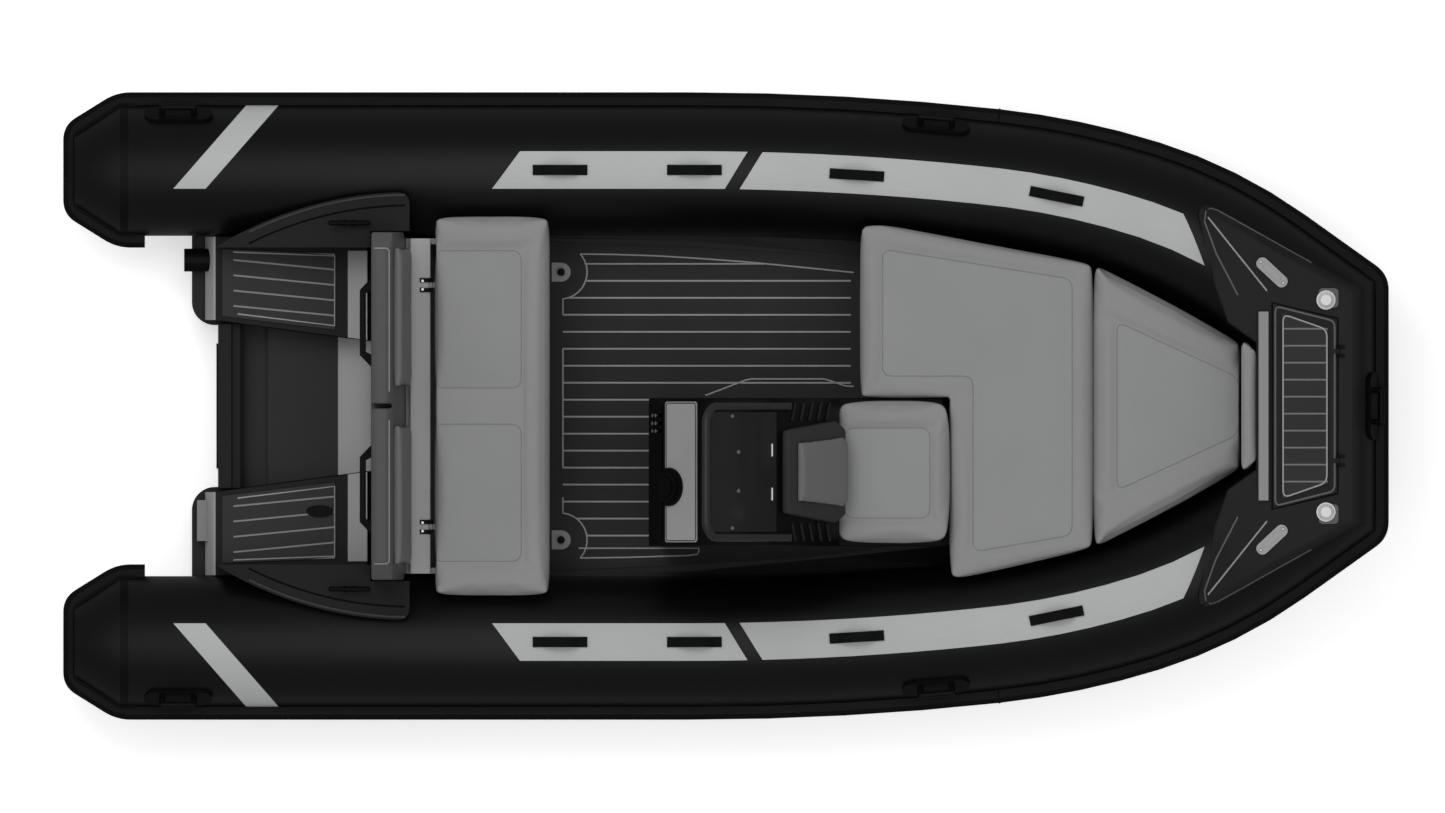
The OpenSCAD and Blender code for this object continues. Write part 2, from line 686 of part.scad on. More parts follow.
module bench_bar() {
    half = quarter_out - 6;
    color("gray") translate([-bar_aft, -half, box_top])
        cube([bar_aft - hinge_x - 2, 2 * half, bar_top - box_top]);
}
// Hinges: fixed knuckles at the ends on a leaf towards -x, and one moving knuckle between them
knuckle_gap = 0.5;
module fixed_knuckles(r, pin_r, width, mid, leaf) {
    translate([0, width / 2, 0]) rotate([90, 0, 0]) cylinder(r = pin_r, h = width);
    for (s = [-1, 1]) {
        a = s * (mid + knuckle_gap);
        b = s * width / 2;
        translate([0, max(a, b), 0]) rotate([90, 0, 0]) cylinder(r = r, h = abs(b - a));
        translate([-leaf, min(a, b), -r - seat_gap]) cube([leaf, abs(b - a), leaf_t]);
    }
}
module moving_knuckle(r, pin_r, mid) {
    rotate([90, 0, 0]) difference() {
        translate([0, 0, -mid]) cylinder(r = r, h = 2 * mid);
        translate([0, 0, -mid - eps]) cylinder(r = pin_r + hinge_fit, h = 2 * mid + 2 * eps);
    }
}
module lid_hinges() {
    color("silver") {
        for (y = hinge_ys) translate([-hinge_x, y, hinge_z])
            fixed_knuckles(knuckle_r, hinge_pin_r, hinge_w, hinge_mid, 38);
        for (y = hatch_hinge_ys) translate([hatch_hinge_x, y, hatch_hinge_z]) rotate([0, 0, 180])
            fixed_knuckles(hatch_knuckle_r, hatch_pin_r, hatch_hinge_w, hatch_hinge_mid, hatch_leaf);
    }
}
module bench_lid() {
    link_z = seat_z + 4;
    color("gray") {
        translate([-bench_aft + 4, -bench_half + 12, seat_z])
            cube([bench_aft - bench_front - 14, 2 * bench_half - 24, lid_t]);
        for (y = hinge_ys) translate([-hinge_x, y, 0]) {
            translate([0, 0, hinge_z]) moving_knuckle(knuckle_r, hinge_pin_r, hinge_mid);
            translate([0.5, -hinge_mid, link_z])
                cube([hinge_x - bench_aft + 6, 2 * hinge_mid, bar_top - link_z]);
            difference() {
                translate([0.5, -hinge_mid, link_z])
                    cube([hinge_x - bench_aft - 2, 2 * hinge_mid, hinge_z - link_z - hinge_pin_r - 1]);
                translate([0, hinge_mid + eps, hinge_z]) rotate([90, 0, 0])
                    cylinder(r = hinge_pin_r + hinge_fit, h = 2 * hinge_mid + 2 * eps);
            }
        }
    }
}
module bench_cushion() {
    color("gray") translate([0, 0, cushion_z]) linear_extrude(cushion_t)
        round_rect(-bench_aft, -bench_half, -bench_front, bench_half, 18);
}
// Plates on the deck in front of the bench, each with a round end
module foot_plates() {
    bolt_r = 16;
    plate_r = 33;
    color("silver") both_sides() translate([-576, 465, pad_z]) {
        linear_extrude(5) union() {
            translate([-plate_r, -plate_r]) square([plate_r, 2 * plate_r]);
            circle(plate_r);
        }
        cylinder(r = bolt_r, h = 12, $fn = 6);
    }
}

// Deck and console

deck_edge_aft = 578;
deck_edge_fore = 466;
module deck_pads() {
    aft = -box_front + 4;
    fore = 706;
    edge = [[aft, deck_edge_aft - 6], [bend_x, 552], [254, 528], [462, 506], [fore, deck_edge_fore - 4]];
    color([0.13, 0.13, 0.13]) difference() {
        translate([0, 0, deck_z]) linear_extrude(pad_t)
            polygon(concat(edge, [for (p = reversed(edge)) [p[0], -p[1]]]));
        // Room for the bow locker's aft wing
        translate([locker_aft - 4, locker_in - 4, 0]) cube([2000, 2000, 1000]);
        for (i = [-9:7]) translate([-570, i * plank + plank_off, pad_z - line_depth])
            cube([1000, line_w, pad_t]);
    }
}
locker_aft = 480;
locker_in = 45;
module console_side() {
    polygon(concat([[fascia_aft + 40, pad_z], [fascia_aft, fascia_foot], fascia_top, dash_top], cowl,
        [seat_slope_top, seat_slope_foot, [seat_aft, seat_top + 4], [seat_aft, seat_base_z],
         [seat_front, seat_base_z], [seat_front - 30, pad_z]]));
}
module console() {
    corner = 40;
    color([0.08, 0.08, 0.08]) intersection() {
        across(console_out, console_in) console_side();
        linear_extrude(2000)
            round_rect(fascia_aft - corner, console_out, seat_front + corner / 2, console_in, corner);
    }
}
dash_slope = atan2(dash_top[1] - fascia_top[1], dash_top[0] - fascia_top[0]);
fascia_slope = atan2(fascia_top[1] - fascia_foot, fascia_top[0] - fascia_aft);
module switch_panel() {
    length = norm([fascia_top[0] - fascia_aft, fascia_top[1] - fascia_foot]);
    panel_t = 5;
    color("black") translate([fascia_aft, -console_y, fascia_foot]) rotate([0, -fascia_slope, 0]) {
        translate([10, -235, 0]) cube([length - 20, 470, panel_t]);
        for (row = [0, 1], i = [0:2])
            translate([length - 32 - row * 30, 196 - i * 27, panel_t]) cylinder(r = 7, h = 9);
    }
}
module dash_panel() {
    length = norm(dash_top - fascia_top);
    color("gray") translate([fascia_top[0], -console_y, fascia_top[1]]) rotate([0, -dash_slope, 0])
        difference() {
            linear_extrude(4) round_rect(10, -244, length - 8, 244, 10);
            translate([0, helm_y, -eps]) linear_extrude(10) helm_plan(helm_r + 1);
        }
}
helm_along = 30;
helm_y = -52;
helm_r = 66;
// Rounded forward and cut straight along the dash's aft edge
module helm_plan(r) {
    intersection() {
        translate([helm_along, 0]) circle(r);
        translate([8, -r]) square([helm_along + r, 2 * r]);
    }
}
module helm_bezel() {
    color("black") translate([fascia_top[0], -console_y, fascia_top[1]]) rotate([0, -dash_slope, 0])
        translate([0, helm_y, 0]) {
            linear_extrude(14) helm_plan(helm_r);
            translate([0, 0, 10]) linear_extrude(16) helm_plan(helm_r - 14);
            translate([0, 0, 20]) linear_extrude(16) helm_plan(helm_r - 30);
        }
}
rail_slope = atan2(rail_top[1] - rail_foot[1], rail_foot[0] - rail_top[0]);
rail_l = norm(rail_top - rail_foot);
// Stands children in the sloping plane of the screen, x down the slope from its top
module on_screen() {
    translate([rail_top[0], -console_y, rail_top[1]]) rotate([0, rail_slope, 0]) children();
}
module windscreen() {
    half = rail_half - rail_d / 2 - 6;
    color([0.1, 0.1, 0.12, 0.6]) difference() {
        on_screen() translate([0, 0, -screen_t / 2]) linear_extrude(screen_t)
            round_rect(rail_d / 2 + seat_gap, -half, rail_l, half, 40);
        across(console_out, console_in) console_side();
        translate([seat_slope_top[0] - 13, -1000, 0]) cube([1000, 2000, 2000]);
    }
}
module screen_rail() {
    r = rail_d / 2;
    color("black") difference() {
        on_screen() {
            translate([0, rail_half - rail_bend, 0]) rotate([90, 0, 0])
                cylinder(r = r, h = 2 * (rail_half - rail_bend));
            for (s = [-1, 1]) {
                translate([rail_bend, s * (rail_half - rail_bend), 0]) rotate([0, 0, s > 0 ? 90 : 180])
                    rotate_extrude(angle = 90) translate([rail_bend, 0]) circle(r);
                translate([rail_bend, s * rail_half, 0]) rotate([0, 90, 0]) cylinder(r = r, h = rail_l);
            }
        }
        across(console_out - 50, console_in + 50) console_side();
        translate([seat_slope_top[0] + 40, -1000, 0]) cube([1000, 2000, rail_foot[1] + 200]);
    }
}
slope_l = norm(seat_slope_foot - seat_slope_top);
slope_angle = atan2(seat_slope_top[1] - seat_slope_foot[1], seat_slope_foot[0] - seat_slope_top[0]);
seat_back_t = 32;
// Stands children on the console's forward slope, x down the slope from its top
module on_slope() {
    translate([seat_slope_top[0], -console_y, seat_slope_top[1]]) rotate([0, slope_angle, 0]) children();
}
module seat_back() {
    color([0.13, 0.13, 0.13]) on_slope() linear_extrude(seat_back_t)
        polygon([[8, -145], [slope_l - 70, -178], [slope_l - 6, -150],
                 [slope_l - 6, 150], [slope_l - 70, 178], [8, 145]]);
}
module seat_back_pad() {
    color("gray") on_slope() translate([0, 0, seat_back_t + seat_gap]) linear_extrude(18)
        polygon([[56, -104], [slope_l - 50, -124], [slope_l - 18, -100],
                 [slope_l - 18, 100], [slope_l - 50, 124], [56, 104]]);
}
module console_cushion() {
    half = 243;
    color("gray") translate([0, -console_y, seat_base_z + seat_gap]) linear_extrude(seat_top - seat_base_z)
        round_rect(seat_aft + 4, -half, 768, half, 40);
}

// Bow

bow_cushion_split = 1274;
module bow_locker() {
    color([0.12, 0.12, 0.12]) translate([0, 0, deck_z]) linear_extrude(bow_seat_z - deck_z) polygon([
        [locker_aft, locker_in], [locker_aft, 485], [chamber_x, 452], [1271, 360], [1600, 200], [1730, 140],
        [1730, -140], [1600, -200], [1271, -360], [chamber_x, -452], [790, -455], [790, locker_in]]);
}
module bow_cushion_aft() {
    color("gray") translate([0, 0, bow_seat_z + seat_gap]) linear_extrude(cushion_t) polygon([
        [466, 31], [466, 615], [480, 629], [530, 632], [900, 560], [1262, 494],
        [bow_cushion_split - 4, 482],
        [bow_cushion_split - 4, -482], [1262, -494], [900, -577], [800, -600], [778, -592], [774, 31]]);
}
module bow_cushion_fore() {
    color("gray") translate([0, 0, bow_seat_z + seat_gap]) linear_extrude(cushion_t) polygon([
        [bow_cushion_split + 4, -480], [bow_cushion_split + 16, -486], [1560, -345], [1784, -217],
        [1784, 217], [1560, 345], [bow_cushion_split + 16, 486], [bow_cushion_split + 4, 480]]);
}
module hatch_plan(grow) {
    polygon([[hatch_aft - grow, -hatch_half - grow], [hatch_fore + grow, -hatch_half + hatch_slant - grow],
             [hatch_fore + grow, hatch_half - hatch_slant + grow], [hatch_aft - grow, hatch_half + grow]]);
}
module bow_moulding() {
    ledge = 24;
    color([0.2, 0.2, 0.2]) difference() {
        skin(there_and_back(moulding_rings));
        translate([0, 0, hatch_z - move_gap]) linear_extrude(100) hatch_plan(move_gap);
        translate([0, 0, locker_floor]) linear_extrude(100) hatch_plan(-ledge);
    }
}
module bow_hatch() {
    color([0.18, 0.18, 0.18]) {
        translate([0, 0, hatch_z]) linear_extrude(hatch_t) hatch_plan(0);
        for (y = hatch_hinge_ys) translate([hatch_hinge_x, y, hatch_hinge_z]) {
            moving_knuckle(hatch_knuckle_r, hatch_pin_r, hatch_hinge_mid);
            difference() {
                translate([-hatch_leaf, -hatch_hinge_mid, -hatch_knuckle_r - seat_gap])
                    cube([hatch_leaf, 2 * hatch_hinge_mid, leaf_t]);
                translate([0, hatch_hinge_mid + eps, 0]) rotate([90, 0, 0])
                    cylinder(r = hatch_pin_r + hinge_fit, h = 2 * hatch_hinge_mid + 2 * eps);
            }
        }
    }
}
module hatch_pad() {
    inset = 32;
    color([0.2, 0.2, 0.2]) difference() {
        translate([0, 0, moulding_z]) linear_extrude(pad_t) hatch_plan(-inset);
        for (i = [-5:4]) translate([hatch_aft, (i + 0.5) * plank, moulding_z + pad_t - line_depth])
            cube([400, line_w, pad_t]);
    }
}
moulding_aft = bow_x + moulding_in;
module bow_backrest() {
    half = 225;
    thick = 46;
    taper = 30;
    color("gray") translate([moulding_aft, 0, bow_seat_z + cushion_t + 8])
        linear_extrude(moulding_z - bow_seat_z - cushion_t - 22) polygon([
            [-thick, -half], [-0.8, taper - half], [-0.8, half - taper], [-thick, half]]);
}
module bow_bar() {
    color("gray") translate([moulding_aft + 8, -328, moulding_z]) cube([34, 656, 14]);
}
// Flush cleats: an oval plate with its bar folded down into it
module bow_cleats() {
    c = on_tube(wing_stations[3] + 20, 40, 0);
    half = 66;
    wide = 21;
    plate = 6;
    color("silver") both_sides() translate([c[0], c[1], moulding_z]) rotate([0, 0, -cleat_turn]) {
        difference() {
            linear_extrude(plate) round_rect(-half, -wide, half, wide, wide - 1);
            translate([0, 0, plate - 3]) linear_extrude(plate) round_rect(-40, -13, 40, 13, 12);
        }
        translate([0, 0, plate - 4]) linear_extrude(7) round_rect(-36, -9, 36, 9, 8);
    }
}
cleat_turn = 43;
module bow_lights() {
    c = on_tube(bow_x, 70, 0);
    color("white") both_sides() translate([c[0] - 18, c[1] + 14, moulding_z]) {
        cylinder(r = 33, h = 8);
        translate([0, 0, 8]) cylinder(r1 = 30, r2 = 18, h = 24);
    }
}

boat_hull();
transom();
motor_pad();
well_tray();
drain_trunk();
anode();
bow_eye();
port_tube();
bow_tube();
starboard_tube();
port_strake();
bow_strake();
starboard_strake();
tube_patches();
webbing_handles();
carry_handles();
port_quarter();
starboard_quarter();
platform_pads();
stern_cleats();
backrest();
backrest_pads();
backrest_handles();
bench_box();
bench_bar();
lid_hinges();
bench_lid();
bench_cushion();
foot_plates();
deck_pads();
console();
switch_panel();
dash_panel();
helm_bezel();
windscreen();
screen_rail();
seat_back();
seat_back_pad();
console_cushion();
bow_locker();
bow_cushion_aft();
bow_cushion_fore();
bow_moulding();
bow_hatch();
hatch_pad();
bow_backrest();
bow_bar();
bow_cleats();
bow_lights();
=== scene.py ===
"""Looks of an open rigid inflatable boat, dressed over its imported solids.

Metres, +X forward to the bow, +Y to port, +Z up, with the waterline at z = 0.
"""

import math

import bpy
import numpy as np
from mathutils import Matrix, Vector
from mathutils.bvhtree import BVHTree


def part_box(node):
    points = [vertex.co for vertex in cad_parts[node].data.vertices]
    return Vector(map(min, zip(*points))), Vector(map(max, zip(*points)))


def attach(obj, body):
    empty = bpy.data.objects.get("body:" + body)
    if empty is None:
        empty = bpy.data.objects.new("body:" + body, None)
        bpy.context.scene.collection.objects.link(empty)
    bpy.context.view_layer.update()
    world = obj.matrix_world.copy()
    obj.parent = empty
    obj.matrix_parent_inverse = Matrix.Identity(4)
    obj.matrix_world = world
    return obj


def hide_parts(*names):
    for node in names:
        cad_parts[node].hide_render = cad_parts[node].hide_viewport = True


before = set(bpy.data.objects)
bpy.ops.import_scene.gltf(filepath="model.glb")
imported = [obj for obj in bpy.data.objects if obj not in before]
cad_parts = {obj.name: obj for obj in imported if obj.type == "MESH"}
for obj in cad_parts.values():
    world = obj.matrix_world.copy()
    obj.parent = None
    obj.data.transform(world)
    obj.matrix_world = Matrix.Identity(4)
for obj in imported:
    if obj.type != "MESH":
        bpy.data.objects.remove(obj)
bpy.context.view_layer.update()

# Sizes taken from the part, in metres
TUBE_R = 0.229
TUBE_Y = 0.820
COLLAR_Z = 0.300
CONE_X = -2.109
CONE_L = 0.156
CONE_END_R = 0.132
STRAKE_H = 0.090
STRAKE_END = 0.087
MITRE = 0.515
DECK_PAINT_Z = 0.165
FOOT_X, FOOT_Y = -0.580, 0.4655

# Lengths of strake that are bent round each corner of the bow and of the cones
BOW_BEND = 0.055
CONE_BEND = 0.050

# Heights of the lines let into the pads and the hatch, their width, and the depth of the planks' grooves
DECK_LINE_Z = 0.1763
PLATFORM_LINE_Z = 0.3363
HATCH_RIM_Z = 0.7243
HATCH_LINE_Z = 0.7303
LINE_W = 0.005
GROOVE = 0.0011

# Slanted band on each stern quarter: its x at the middle line, lean, breadth, and y from and to
BAND_X, BAND_LEAN, BAND_W = -2.585, 0.875, 0.114
BAND_IN, BAND_OUT = 0.754, 1.049

# How far a cushion's solid shrinks before it swells, and the most that it swells
PAD_SHRINK, PAD_RISE = 0.006, 0.012

# Both sides of the boat, as a sign of y and a name
SIDES = ((1, "port"), (-1, "starboard"))


def grey(level, green=0.0):
    """Linear colour of a grey given as a 0 to 255 screen level."""
    value = ((level / 255 + 0.055) / 1.055) ** 2.4 if level > 10 else level / 255 / 12.92
    return (value * (1 - green), value * (1 + green), value, 1.0)


# Selection and copies


def leave_edit():
    if bpy.context.object and bpy.context.object.mode != "OBJECT":
        bpy.ops.object.mode_set(mode="OBJECT")


def let_go():
    """Leaves edit mode with nothing selected."""
    leave_edit()
    bpy.ops.object.select_all(action="DESELECT")


def take(piece):
    """Makes one piece the only selected and active object."""
    let_go()
    piece.select_set(True)
    bpy.context.view_layer.objects.active = piece


def open_mesh(piece):
    take(piece)
    bpy.ops.object.mode_set(mode="EDIT")
    bpy.ops.mesh.select_mode(type="FACE")
    bpy.ops.mesh.select_all(action="SELECT")


def settle(piece):
    """Puts a piece's place, turn and scale into its mesh."""
    take(piece)
    bpy.ops.object.transform_apply(location=True, rotation=True, scale=True)


def smooth(piece, angle=32):
    take(piece)
    bpy.ops.object.shade_smooth_by_angle(angle=math.radians(angle))


def pick_faces(piece, test):
    """Selects the faces whose middle and normal pass a test, in edit mode."""
    leave_edit()
    for face in piece.data.polygons:
        face.select = test(face.center, face.normal)
    for edge in piece.data.edges:
        edge.select = False
    for vertex in piece.data.vertices:
        vertex.select = False
    take(piece)
    for face in piece.data.polygons:
        if face.select:
            for index in face.vertices:
                piece.data.vertices[index].select = True
    bpy.ops.object.mode_set(mode="EDIT")
    bpy.ops.mesh.select_mode(type="FACE")


def copy_of(node, name):
    """A merged copy of a node's mesh as a new piece at the origin."""
    piece = bpy.data.objects.new(name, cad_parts[node].data.copy())
    bpy.context.collection.objects.link(piece)
    piece.data.materials.clear()
    take(piece)
    bpy.ops.mesh.customdata_custom_splitnormals_clear()
    open_mesh(piece)
    bpy.ops.mesh.remove_doubles(threshold=0.00002)
    leave_edit()
    return piece


def dress(piece, body, material, slot, *nodes):
    """Gives a finished piece its material, its body and the nodes that it stands for."""
    piece.data.materials.clear()
    piece.data.materials.append(material)
    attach(piece, body)
    if nodes:
        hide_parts(*nodes)
    return piece


def round_edges(piece, radius):
    """Rounds a piece's sharp edges."""
    open_mesh(piece)
    bpy.ops.mesh.dissolve_limited(angle_limit=math.radians(0.6))
    leave_edit()
    edge = piece.modifiers.new("edge", "BEVEL")
    edge.width = radius
    edge.segments = 2
    edge.limit_method = "ANGLE"
    edge.angle_limit = math.radians(35)
    edge.harden_normals = False
    take(piece)
    bpy.ops.object.modifier_apply(modifier="edge")
    smooth(piece)


def bend_corner(piece, corner, one, other, length, steps=4):
    """Bends a piece round a plan corner whose sides leave it along two directions."""
    across = (one - other).normalized()
    lean = one.dot(across)
    open_mesh(piece)
    for k in range(-steps, steps + 1):
        place = corner + across * (lean * length * k / steps)
        bpy.ops.mesh.select_all(action="SELECT")
        bpy.ops.mesh.bisect(plane_co=(place.x, place.y, 0), plane_no=(across.x, across.y, 0))
    leave_edit()
    for vertex in piece.data.vertices:
        off = vertex.co.xy - corner
        away = abs(off.dot(across)) / lean / length
        if away < 1 and off.length < 3 * length:
            shift = (one + other) * (length * (0.5 * (1 - away)) ** 2)
            vertex.co.x += shift.x
            vertex.co.y += shift.y
    smooth(piece, 30)


# Shared surface effects


def new_group(name, inputs, outputs):
    group = bpy.data.node_groups.new(name, "ShaderNodeTree")
    for label, kind, value in inputs:
        socket = group.interface.new_socket(label, in_out="INPUT", socket_type=kind)
        if value is not None:
            socket.default_value = value
    for label, kind in outputs:
        group.interface.new_socket(label, in_out="OUTPUT", socket_type=kind)
    return group, group.nodes.new("NodeGroupInput"), group.nodes.new("NodeGroupOutput")


def math_node(tree, operation, a, b=None, c=None):
    """A Math node whose inputs are numbers or sockets; returns its output."""
    node = tree.nodes.new("ShaderNodeMath")
    node.operation = operation
    for place, value in enumerate((a, b, c)):
        if value is None:
            continue
        if isinstance(value, (int, float)):
            node.inputs[place].default_value = value
        else:
            tree.links.new(value, node.inputs[place])
    return node.outputs[0]


def mix_colour(tree, mask, low, high):
    """Mixes two colours by a mask; each is a colour or a socket."""
    node = tree.nodes.new("ShaderNodeMix")
    node.data_type = "RGBA"
    tree.links.new(mask, node.inputs["Factor"])
    for label, value in (("A", low), ("B", high)):
        socket = [s for s in node.inputs if s.name == label and s.type == "RGBA"][0]
        if isinstance(value, tuple):
            socket.default_value = value
        else:
            tree.links.new(value, socket)
    return [s for s in node.outputs if s.type == "RGBA"][0]


def axes(tree, vector):
    """The x, y and z of a vector."""
    split = tree.nodes.new("ShaderNodeSeparateXYZ")
    tree.links.new(vector, split.inputs[0])
    return split.outputs


def noise(tree, vector, scale, detail, rough):
    node = tree.nodes.new("ShaderNodeTexNoise")
    node.inputs["Detail"].default_value = detail
    node.inputs["Roughness"].default_value = rough
    tree.links.new(vector, node.inputs["Vector"])
    if isinstance(scale, (int, float)):
        node.inputs["Scale"].default_value = scale
    else:
        tree.links.new(scale, node.inputs["Scale"])
    return node.outputs[0]


def make_grain():
    """Fine grain with broad, faint patches of tone."""
    group, start, end = new_group(
        "surface_grain",
        [("Vector", "NodeSocketVector", None), ("Color", "NodeSocketColor", None),
         ("Scale", "NodeSocketFloat", 400.0), ("Tone", "NodeSocketFloat", 0.12),
         ("Roughness", "NodeSocketFloat", 0.5), ("Spread", "NodeSocketFloat", 0.15)],
        [("Color", "NodeSocketColor"), ("Roughness", "NodeSocketFloat"), ("Height", "NodeSocketFloat")])
    fine = noise(group, start.outputs["Vector"], start.outputs["Scale"], 5.0, 0.6)
    broad = noise(group, start.outputs["Vector"], 3.1, 4.0, 0.6)
    slow = math_node(group, "MULTIPLY", broad, 1.4)
    both = math_node(group, "ADD", slow, math_node(group, "MULTIPLY", fine, 0.6))
    swing = math_node(group, "MULTIPLY", math_node(group, "SUBTRACT", both, 1.0), start.outputs["Tone"])
    level = math_node(group, "ADD", swing, 1.0)
    scaled = group.nodes.new("ShaderNodeVectorMath")
    scaled.operation = "SCALE"
    group.links.new(start.outputs["Color"], scaled.inputs[0])
    group.links.new(level, scaled.inputs["Scale"])
    group.links.new(scaled.outputs[0], end.inputs["Color"])
    off = math_node(group, "MULTIPLY", math_node(group, "SUBTRACT", broad, 0.5), start.outputs["Spread"])
    group.links.new(math_node(group, "ADD", off, start.outputs["Roughness"]), end.inputs["Roughness"])
    group.links.new(fine, end.inputs["Height"])
    return group


def make_pebble():
    """Small rounded pebbles, as on embossed vinyl and coated fabric."""
    group, start, end = new_group(
        "pebble", [("Vector", "NodeSocketVector", None), ("Scale", "NodeSocketFloat", 500.0)],
        [("Height", "NodeSocketFloat")])
    cells = group.nodes.new("ShaderNodeTexVoronoi")
    cells.feature = "SMOOTH_F1"
    cells.inputs["Smoothness"].default_value = 0.4
    group.links.new(start.outputs["Vector"], cells.inputs["Vector"])
    group.links.new(start.outputs["Scale"], cells.inputs["Scale"])
    dome = math_node(group, "SUBTRACT", 1.0, math_node(group, "MULTIPLY", cells.outputs["Distance"], 1.3))
    group.links.new(dome, end.inputs["Height"])
    return group


def make_weave():
    """Over and under threads along x and y."""
    group, start, end = new_group(
        "weave", [("Vector", "NodeSocketVector", None), ("Pitch", "NodeSocketFloat", 0.004)],
        [("Height", "NodeSocketFloat"), ("Thread", "NodeSocketFloat")])
    place = axes(group, start.outputs["Vector"])
    waves = []
    for axis in ("X", "Y"):
        turns = math_node(group, "DIVIDE", place[axis], start.outputs["Pitch"])
        waves.append(math_node(group, "SINE", math_node(group, "MULTIPLY", turns, 2 * math.pi)))
    crossing = math_node(group, "MULTIPLY", waves[0], waves[1])
    group.links.new(math_node(group, "MULTIPLY_ADD", crossing, 0.5, 0.5), end.inputs["Height"])
    group.links.new(math_node(group, "MULTIPLY_ADD", waves[0], 0.5, 0.5), end.inputs["Thread"])
    return group


def make_panel():
    """Mask of a plan area between two x, whose y edges slope with x."""
    group, start, end = new_group(
        "panel_area",
        [("Vector", "NodeSocketVector", None),
         ("From X", "NodeSocketFloat", 0.0), ("To X", "NodeSocketFloat", 1.0),
         ("Port", "NodeSocketFloat", 0.1), ("Port Slope", "NodeSocketFloat", 0.0),
         ("Starboard", "NodeSocketFloat", -0.1), ("Starboard Slope", "NodeSocketFloat", 0.0),
         ("Soft", "NodeSocketFloat", 0.002)],
        [("Mask", "NodeSocketFloat")])
    x, y, _ = axes(group, start.outputs["Vector"])
    along = math_node(group, "SUBTRACT", x, start.outputs["From X"])
    port, starboard = (
        math_node(group, "MULTIPLY_ADD", along, start.outputs[side + " Slope"], start.outputs[side])
        for side in ("Port", "Starboard"))
    inside = math_node(group, "MINIMUM", along, math_node(group, "SUBTRACT", start.outputs["To X"], x))
    inside = math_node(group, "MINIMUM", inside, math_node(group, "SUBTRACT", port, y))
    inside = math_node(group, "MINIMUM", inside, math_node(group, "SUBTRACT", y, starboard))
    ramp = group.nodes.new("ShaderNodeMath")
    ramp.operation = "DIVIDE"
    ramp.use_clamp = True
    group.links.new(inside, ramp.inputs[0])
    group.links.new(start.outputs["Soft"], ramp.inputs[1])
    group.links.new(ramp.outputs[0], end.inputs["Mask"])
    return group


GRAIN = make_grain()
PEBBLE = make_pebble()
WEAVE = make_weave()
PANEL = make_panel()


def place_group(tree, group, vector, **values):
    node = tree.nodes.new("ShaderNodeGroup")
    node.node_tree = group
    tree.links.new(vector, node.inputs["Vector"])
    for label, value in values.items():
        socket = node.inputs[label.replace("_", " ")]
        if isinstance(value, (int, float, tuple)):
            socket.default_value = value
        else:
            tree.links.new(value, socket)
    return node


class Finish:
    """One material: its tree, its shader and its Object coordinates."""

    def __init__(self, name, metallic=0.0, specular=0.5, coat=0.0):
        self.material = bpy.data.materials.new(name)
        self.material.use_nodes = True
        self.tree = self.material.node_tree
        self.shader = self.tree.nodes["Principled BSDF"]
        self.shader.inputs["Metallic"].default_value = metallic
        self.shader.inputs["Specular IOR Level"].default_value = specular
        self.shader.inputs["Coat Weight"].default_value = coat
        self.vector = self.tree.nodes.new("ShaderNodeTexCoord").outputs["Object"]

    def join(self, socket, label):
        self.tree.links.new(socket, self.shader.inputs[label])

    def paint(self, colour, grain):
        """Gives the shader a colour and a grain's roughness."""
        self.join(colour, "Base Color")
        self.join(grain.outputs["Roughness"], "Roughness")

    def bump(self, height, strength, distance):
        node = self.tree.nodes.new("ShaderNodeBump")
        node.inputs["Strength"].default_value = strength
        node.inputs["Distance"].default_value = distance
        self.tree.links.new(height, node.inputs["Height"])
        self.join(node.outputs[0], "Normal")

    def grain(self, colour, **values):
        return place_group(self.tree, GRAIN, self.vector, Color=colour, **values)


def grained(name, colour, scale, tone, rough, spread, strength, distance, **shader):
    """A finish of one colour with fine grain."""
    finish = Finish(name, **shader)
    grain = finish.grain(colour, Scale=scale, Tone=tone, Roughness=rough, Spread=spread)
    finish.paint(grain.outputs["Color"], grain)
    finish.bump(grain.outputs["Height"], strength, distance)
    return finish.material


# Finishes

PALE = grey(178, 0.012)


def tube_finish():
    """Black coated tube fabric with a slanted light band on each stern quarter."""
    finish = Finish("tube_fabric", specular=0.36)
    tree = finish.tree
    grain = finish.grain(grey(5), Scale=900.0, Tone=0.35, Roughness=0.40, Spread=0.12)
    x, y, z = axes(tree, finish.vector)
    side = math_node(tree, "ABSOLUTE", y)
    folded = tree.nodes.new("ShaderNodeCombineXYZ")
    slide = math_node(tree, "MULTIPLY_ADD", side, -BAND_LEAN, -BAND_X)
    tree.links.new(math_node(tree, "ADD", x, slide), folded.inputs["X"])
    tree.links.new(side, folded.inputs["Y"])
    band = place_group(tree, PANEL, folded.outputs[0],
                       From_X=0.0, To_X=BAND_W, Port=BAND_OUT, Starboard=BAND_IN)
    top = math_node(tree, "GREATER_THAN", z, COLLAR_Z)
    mask = math_node(tree, "MULTIPLY", band.outputs[0], top)
    finish.paint(mix_colour(tree, mask, grain.outputs["Color"], PALE), grain)
    finish.bump(grain.outputs["Height"], 0.25, 0.0006)
    return finish.material


def patch_finish():
    finish = Finish("patch_fabric", specular=0.15)
    grain = finish.grain(PALE, Scale=260.0, Tone=0.10, Roughness=0.6, Spread=0.15)
    pebble = place_group(finish.tree, PEBBLE, finish.vector, Scale=420.0)
    finish.paint(grain.outputs["Color"], grain)
    finish.bump(pebble.outputs[0], 0.35, 0.0012)
    return finish.material


